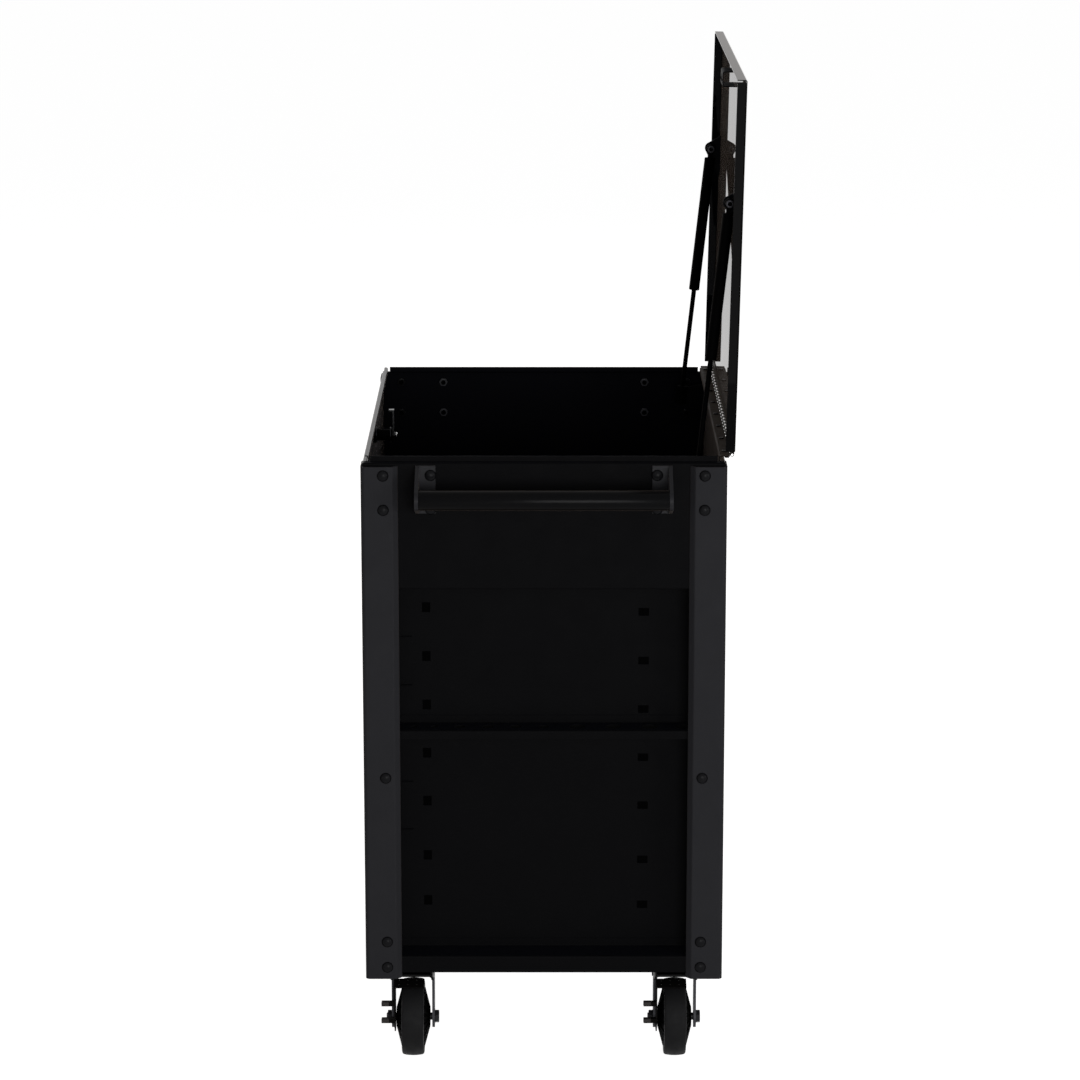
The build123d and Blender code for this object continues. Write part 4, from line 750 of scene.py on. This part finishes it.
# %% [markdown]
# ## Axle bolts
#
# Each caster turns on a hexagon bolt across its fork, with the head on one side and a nut on the
# other. Their length is read from the width of the fork, and their other sizes are given. The
# nut is the same turned hexagon as before, only larger, and the tail of the bolt has a small
# bevel where the thread starts.

# %% Model an axle bolt along Y and copy it into every fork
AXLE_RADIUS = 6.0 * MM
AXLE_ACROSS = 19.0 * MM
AXLE_HEAD = 7.0 * MM
AXLE_TAIL = 2.0 * MM
AXLE_EDGE = 1.0 * MM
WASHER = 1.2 * MM
WASHER_RADIUS = 10.64 * MM
WASHER_EDGE = 0.3 * MM


def axle_model(fork_half):
    """Head, shank, nut and washers of one axle, drawn along Z and then laid along Y."""
    deselect_all()
    long = 2 * fork_half + AXLE_HEAD + AXLE_TAIL
    bpy.ops.mesh.primitive_cylinder_add(vertices=48, radius=AXLE_RADIUS, depth=long,
                                        location=(0.0, 0.0, fork_half - long / 2))
    shank = taken("axle_shank")
    pick_edges(shank, lambda a, b: max(a.z, b.z) < fork_half - long + 0.01 * MM)
    bpy.ops.mesh.bevel(offset=AXLE_EDGE, segments=2)
    smoothed(shank)
    head = hex_nut(AXLE_ACROSS, AXLE_HEAD - WASHER, 0.0)
    head.data.transform(Matrix.Translation((0.0, 0.0, fork_half + WASHER)))
    nut = hex_nut(AXLE_ACROSS, AXLE_HEAD - WASHER, AXLE_RADIUS)
    nut.data.transform(Matrix.Translation((0.0, 0.0, -fork_half - AXLE_HEAD)))
    washers = []
    for foot in (fork_half, -fork_half - WASHER):
        washer = smoothed(turned_disc(WASHER_RADIUS, WASHER, WASHER_EDGE))
        washer.data.transform(Matrix.Translation((0.0, 0.0, foot)))
        washers.append(washer)
    axle = joined("axle_model", [shank, head, nut, *washers])
    axle.data.transform(Matrix.Rotation(-math.pi / 2, 4, "X"))
    return axle


fork_low, fork_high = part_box("front_swivel_fork")
axle = axle_model((fork_high.y - fork_low.y) / 2)
rigid = [placed_copy(axle, "rigid_axle", middle(f"{end}_rigid_wheel")) for end in ("front", "rear")]
dressed(joined("rigid_axle_bolts", rigid), axle_black, "fork_black", "cabinet", "rigid_axles")
for end in ("front", "rear"):
    swivel = placed_copy(axle, f"{end}_swivel_axle_bolt", middle(f"{end}_swivel_wheel"))
    dressed(swivel, axle_black, "fork_black", f"{end}_swivel", f"{end}_swivel_axle")
bpy.data.objects.remove(axle)
print("axle bolts:", 4)

# %% [markdown]
# ## Studs on the brake shoes
#
# The shoe of each brake lever is a curved strip with two rows of three pressed studs that bite
# into the tread. A stud is a low cylinder whose top edge is beveled. Its place is given by an
# angle round the axle and a distance along it, so it always stands square on the curved strip.

# %% Model one stud and set six on each shoe
SHOE_RADIUS = WHEEL_RADIUS + 5.0 * MM
STUD_RADIUS = 1.5 * MM
STUD_HEIGHT = 0.6 * MM
STUD_ANGLES = (69.0, 78.0)
STUD_ROW = (-22.5 * MM, -8.0 * MM, 6.5 * MM)

deselect_all()
bpy.ops.mesh.primitive_cylinder_add(vertices=20, radius=STUD_RADIUS, depth=2 * STUD_HEIGHT)
stud = taken("stud_model")
pick_edges(stud, lambda a, b: min(a.z, b.z) > STUD_HEIGHT * 0.9)
bpy.ops.mesh.bevel(offset=STUD_HEIGHT * 0.8, segments=3)
smoothed(stud, 60.0)
for end in ("front", "rear"):
    axle_at = middle(f"{end}_rigid_wheel")
    studs = []
    for angle in STUD_ANGLES:
        tilt = Matrix.Rotation(math.radians(90.0 - angle), 4, "Y")
        for along in STUD_ROW:
            at = axle_at + Vector((0.0, along, 0.0)) + tilt @ Vector((0.0, 0.0, SHOE_RADIUS))
            studs.append(placed_copy(stud, "stud", at, tilt))
    dressed(joined(f"{end}_shoe_studs", studs), stud_steel, "brake_steel", f"{end}_brake")
bpy.data.objects.remove(stud)
print("studs on each shoe:", len(STUD_ANGLES) * len(STUD_ROW))

# %% [markdown]
# ## Pads on the brake levers
#
# Each lever has two tabs to press with a foot, one to brake and one to let go. Their ends are
# worn to bare grey and round at every edge. A pad is a box round the tab, taken from the corners
# of the tab's own solid, with a strip along its top inset and sunk between two ridges.

# %% Model a worn pad over each foot tab
TAB_OUT = 4.0 * MM
PAD_ROOT = 1.5 * MM
PAD_SKIN = 0.4 * MM
PAD_ROUND = 1.6 * MM
PAD_RIDGE = 1.8 * MM
PAD_SINK = 0.5 * MM


def tab_boxes(end):
    """The box of each foot tab: what stands out past the fork, parted at the widest step in height."""
    fork_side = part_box(f"{end}_rigid_fork")[0].y
    points = [point.co for point in nodes[f"{end}_brake_lever"].data.vertices]
    tips = sorted((at for at in points if at.y < fork_side - TAB_OUT), key=lambda at: at.z)
    steps = [after.z - before.z for before, after in zip(tips, tips[1:])]
    part = steps.index(max(steps)) + 1
    for group in (tips[:part], tips[part:]):
        low = Vector(map(min, zip(*group)))
        high = Vector(map(max, zip(*group)))
        high.y = fork_side - PAD_ROOT
        yield low, high


def foot_pad(low, high):
    """A rounded pad that wraps one tab."""
    deselect_all()
    size = high - low + Vector((2 * PAD_SKIN, PAD_SKIN, 2 * PAD_SKIN))
    centre = (low + high) / 2 - Vector((0.0, PAD_SKIN / 2, 0.0))
    bpy.ops.mesh.primitive_cube_add(size=1.0, location=centre, scale=size)
    pad = taken("pad")
    pick_edges(pad, lambda a, b: True)
    bpy.ops.mesh.bevel(offset=PAD_ROUND, segments=4)
    pick_faces(pad, lambda at, facing: facing.z > 0.99)
    bpy.ops.mesh.inset(thickness=PAD_RIDGE)
    push(0.0, 0.0, -PAD_SINK)
    return smoothed(pad, 40.0)


for end in ("front", "rear"):
    pads = [foot_pad(low, high) for low, high in tab_boxes(end)]
    dressed(joined(f"{end}_lever_pads", pads), pad_grey, "brake_steel", f"{end}_brake")
print("pads on each lever:", len(pads))

# %% [markdown]
# ## Clips on the strut studs
#
# Each strut hangs on a stud at the lid, and a spring clip on the stud's end keeps it there. From
# the near end the clip shows as a grey ring with a dark middle. It is a turned disc whose face is
# inset, and the middle is sunk and painted black. The studs are the short solids of the node, and
# both of them point to the near end.

# %% Model a clip on the end of each lid stud
CLIP_RADIUS = 6.2 * MM
CLIP_BORE = 3.6 * MM
CLIP_THICK = 1.6 * MM
CLIP_SINK = 1.12 * MM
CLIP_EDGE = 0.4 * MM
STUD_MOST = 20.0 * MM


def stud_tip(low, high):
    """The middle of the near end of a stud, from the corners of its box."""
    return Vector((high.x, (low.y + high.y) / 2, (low.z + high.z) / 2))


def clip_model():
    """A grey ring with a sunk black middle, standing on Z = 0."""
    ring = turned_disc(CLIP_RADIUS, CLIP_THICK, CLIP_EDGE)
    pick_faces(ring, lambda at, facing: facing.z > 0.99)
    bpy.ops.mesh.inset(thickness=CLIP_RADIUS - CLIP_EDGE - CLIP_BORE)
    push(0.0, 0.0, -CLIP_SINK)
    smoothed(ring)
    ring.data.materials.clear()
    ring.data.materials.append(clip_steel)
    ring.data.materials.append(rod_black)
    for face in ring.data.polygons:
        face.material_index = int(math.hypot(face.center.x, face.center.y) < CLIP_BORE * 1.01)
    return ring


clip = clip_model()
studs = [(low, high) for low, high in loose_boxes("lid_strut_brackets") if high.z - low.z < STUD_MOST]
clips = [placed_copy(clip, "clip", stud_tip(low, high), outward(1)) for low, high in studs]
bpy.data.objects.remove(clip)
print("clips on the studs of the lid:", len(clips))
dressed(joined("strut_clips", clips), None, "bracket_paint", "lid")

# %% [markdown]
# ## Lock
#
# Inside the till the lock shows a black barrel between two grey rings: the nut against the wall
# and the washer under the cam. A round-headed screw with a slot holds the cam. The rings are
# turned discs laid along Y. The screw is a flattened half ball, and a Boolean with a narrow block
# cuts its slot.

# %% Model the rings and the screw of the lock
RING_BORE = 9.6 * MM
RING_RADIUS = 13.0 * MM
RING_THICK = 1.6 * MM
RING_EDGE = 0.4 * MM
SCREW_RADIUS = 4.4 * MM
SCREW_HEIGHT = 2.6 * MM
SCREW_SLOT = 1.2 * MM


def lock_ring(y):
    """A ring round the barrel, with its middle at a distance along Y."""
    ring = turned_disc(RING_RADIUS, RING_THICK, RING_EDGE)
    deselect_all()
    bpy.ops.mesh.primitive_cylinder_add(vertices=48, radius=RING_BORE, depth=4 * RING_THICK)
    combined(ring, taken("bore_tool"), "DIFFERENCE")
    smoothed(ring)
    at = middle("lock_body")
    laid = Matrix.Rotation(math.pi / 2, 4, "X")
    ring.data.transform(Matrix.Translation((at.x, y + RING_THICK / 2, at.z)) @ laid)
    return ring


def cam_screw(y):
    """A round head with a slot, standing on the cam and facing into the till."""
    deselect_all()
    bpy.ops.mesh.primitive_uv_sphere_add(segments=32, ring_count=16, radius=SCREW_RADIUS,
                                         scale=(1.0, 1.0, SCREW_HEIGHT / SCREW_RADIUS))
    screw = taken("cam_screw_head")
    bpy.ops.object.mode_set(mode="EDIT")
    bpy.ops.mesh.select_all(action="SELECT")
    bpy.ops.mesh.bisect(plane_co=(0.0, 0.0, 0.0), plane_no=(0.0, 0.0, 1.0), clear_inner=True, use_fill=True)
    deselect_all()
    bpy.ops.mesh.primitive_cube_add(size=1.0, location=(0.0, 0.0, SCREW_HEIGHT),
                                    scale=(SCREW_SLOT, 3 * SCREW_RADIUS, SCREW_HEIGHT))
    combined(screw, taken("slot_tool"), "DIFFERENCE")
    smoothed(screw, 40.0)
    at = middle("lock_body")
    laid = Matrix.Rotation(-math.pi / 2, 4, "X")
    screw.data.transform(Matrix.Translation((at.x, y, at.z)) @ laid)
    return screw


nut_face = min(loose_boxes("lock_body"), key=lambda box: box[1].y - box[0].y)[1].y
barrel_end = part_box("lock_body")[1].y
cam_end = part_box("lock_cam")[1].y
rings = [lock_ring(nut_face), lock_ring(barrel_end - 2 * RING_THICK)]
dressed(joined("lock_rings", rings), clip_steel, "rod_black", "cabinet")
dressed(cam_screw(cam_end), screw_steel, "rod_black", "lock")
print("rings round the barrel:", len(rings))

# %% [markdown]
# ## Push handles
#
# A handle is a length of round tube between two tapered cheeks. The solid of the tube is
# faceted, and a long highlight shows every facet, so the tube is made again with many sides.
# Its ends are inset and pushed in, because the tube is open, and the rims are beveled.

# %% Model a handle tube for each end
TUBE_WALL = 2.0 * MM
TUBE_PLUG = 20.0 * MM
TUBE_EDGE = 0.5 * MM


def handle_tube(side):
    """The grip of one handle, from the box of its solid."""
    node = f"{side}_handle_tube"
    low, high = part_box(node)
    radius = (high.z - low.z) / 2
    deselect_all()
    bpy.ops.mesh.primitive_cylinder_add(vertices=96, radius=radius, depth=high.y - low.y,
                                        location=(low + high) / 2, rotation=(math.pi / 2, 0.0, 0.0))
    tube = taken(f"{side}_handle_grip")
    for turn in (1, -1):
        pick_faces(tube, lambda at, facing: facing.y * turn > 0.9)
        bpy.ops.mesh.inset(thickness=TUBE_WALL)
        push(0.0, -turn * TUBE_PLUG, 0.0)
    pick_edges(tube, lambda a, b: abs(a.y - b.y) < 0.01 * MM
               and min(abs(a.y - low.y), abs(a.y - high.y)) < 0.1 * MM)
    bpy.ops.mesh.bevel(offset=TUBE_EDGE, segments=2)
    return dressed(smoothed(tube), grip_paint, "handle_paint", "cabinet", node)


for side in ("right", "left"):
    handle_tube(side)
print("handle tubes:", 2)

# %% [markdown]
# ## Floor, light and camera
#
# The picture is a plain studio cut-out, white all round. A large soft lamp stands before the near
# end, a small one on its right lights the till's front wall, a warm one beyond the far end tints
# the lid and the back sheet, and a plain one above the far end keeps the back from going black.
# The room adds a little light of its own, and the floor and the room look white to the camera.
# The camera stands before the middle of the near end, far off, with a long lens, and looks down.

# %% Floor
FLOOR_GLOW = 0.91

deselect_all()
bpy.ops.mesh.primitive_plane_add(size=60.0, location=(0.0, 0.0, 0.0))
floor = bpy.context.object
floor.name = "studio_floor"


def seen_directly(tree):
    """1 for what the camera sees, straight or in a reflection, and 0 for light that falls."""
    path = tree.nodes.new("ShaderNodeLightPath")
    either = tree.nodes.new("ShaderNodeMath")
    either.operation = "MAXIMUM"
    tree.links.new(path.outputs["Is Camera Ray"], either.inputs[0])
    tree.links.new(path.outputs["Is Glossy Ray"], either.inputs[1])
    all_three = tree.nodes.new("ShaderNodeMath")
    all_three.operation = "MAXIMUM"
    tree.links.new(either.outputs[0], all_three.inputs[0])
    tree.links.new(path.outputs["Is Transmission Ray"], all_three.inputs[1])
    return all_three.outputs[0]


floor_paper = bpy.data.materials.new("studio_paper")
floor_paper.use_nodes = True
paper = floor_paper.node_tree
paper_shader = paper.nodes["Principled BSDF"]
paper_shader.inputs["Base Color"].default_value = (0.80, 0.80, 0.80, 1.0)
paper_shader.inputs["Roughness"].default_value = 1.0
paper_shader.inputs["Specular IOR Level"].default_value = 0.0
paper_shader.inputs["Emission Color"].default_value = (1.0, 1.0, 1.0, 1.0)
glow = paper.nodes.new("ShaderNodeMath")
glow.operation = "MULTIPLY"
glow.inputs[1].default_value = FLOOR_GLOW
paper.links.new(seen_directly(paper), glow.inputs[0])
paper.links.new(glow.outputs[0], paper_shader.inputs["Emission Strength"])
floor.data.materials.append(floor_paper)

# %% Room light
WORLD_FILL = 0.10
world = bpy.data.worlds.new("studio")
bpy.context.scene.world = world
world.use_nodes = True
sky = world.node_tree
sky.nodes.clear()
dim = sky.nodes.new("ShaderNodeBackground")
dim.inputs["Color"].default_value = (1.0, 1.0, 1.0, 1.0)
dim.inputs["Strength"].default_value = WORLD_FILL
white = sky.nodes.new("ShaderNodeBackground")
white.inputs["Color"].default_value = (1.0, 1.0, 1.0, 1.0)
white.inputs["Strength"].default_value = 1.0
either = sky.nodes.new("ShaderNodeMixShader")
sky.links.new(seen_directly(sky), either.inputs["Fac"])
sky.links.new(dim.outputs[0], either.inputs[1])
sky.links.new(white.outputs[0], either.inputs[2])
sky.links.new(either.outputs[0], sky.nodes.new("ShaderNodeOutputWorld").inputs["Surface"])


LAMP_AIM = Vector((0.0, centre_y, 0.7))


def soft_lamp(name, place, power, size, colour=(1.0, 1.0, 1.0)):
    """A square soft box that faces the middle of the chest."""
    bpy.ops.object.light_add(type="AREA", location=place)
    lamp = bpy.context.object
    lamp.name = name
    lamp.data.energy = power
    lamp.data.size = size
    lamp.data.color = colour
    lamp.rotation_euler = (LAMP_AIM - Vector(place)).to_track_quat("-Z", "Y").to_euler()


soft_lamp("front", (6.2, 0.9, 1.1), 200.0, 2.4)
soft_lamp("side", (3.8, 3.8, 1.5), 55.0, 1.4)
soft_lamp("warm", (-4.2, -4.4, 1.8), 100.0, 2.0, (1.0, 0.87, 0.76))
soft_lamp("back", (-4.4, 3.6, 3.4), 60.0, 2.0)

# %% Camera
FRAME_PIXELS = 1080.0
FOCAL_PIXELS = 3743.0
CENTRE_COLUMN = 543.9
CAMERA_TO_POSTS = 5.724
CAMERA_HEIGHT = 2.2227
LOOK_DOWN = 13.19
lens = bpy.data.cameras.new("camera")
lens.sensor_width = 36.0
lens.lens = FOCAL_PIXELS / FRAME_PIXELS * lens.sensor_width
lens.shift_x = (FRAME_PIXELS / 2 - CENTRE_COLUMN) / FRAME_PIXELS
lens.clip_end = 100.0
camera = bpy.data.objects.new("camera", lens)
bpy.context.collection.objects.link(camera)
camera.location = (cabinet_high.x + CAMERA_TO_POSTS, centre_y, CAMERA_HEIGHT)
camera.rotation_euler = (math.radians(90.0 - LOOK_DOWN), 0.0, math.radians(90.0))
bpy.context.scene.camera = camera
bpy.context.scene.view_settings.view_transform = "Standard"
print("lens in millimetres:", round(lens.lens, 2))
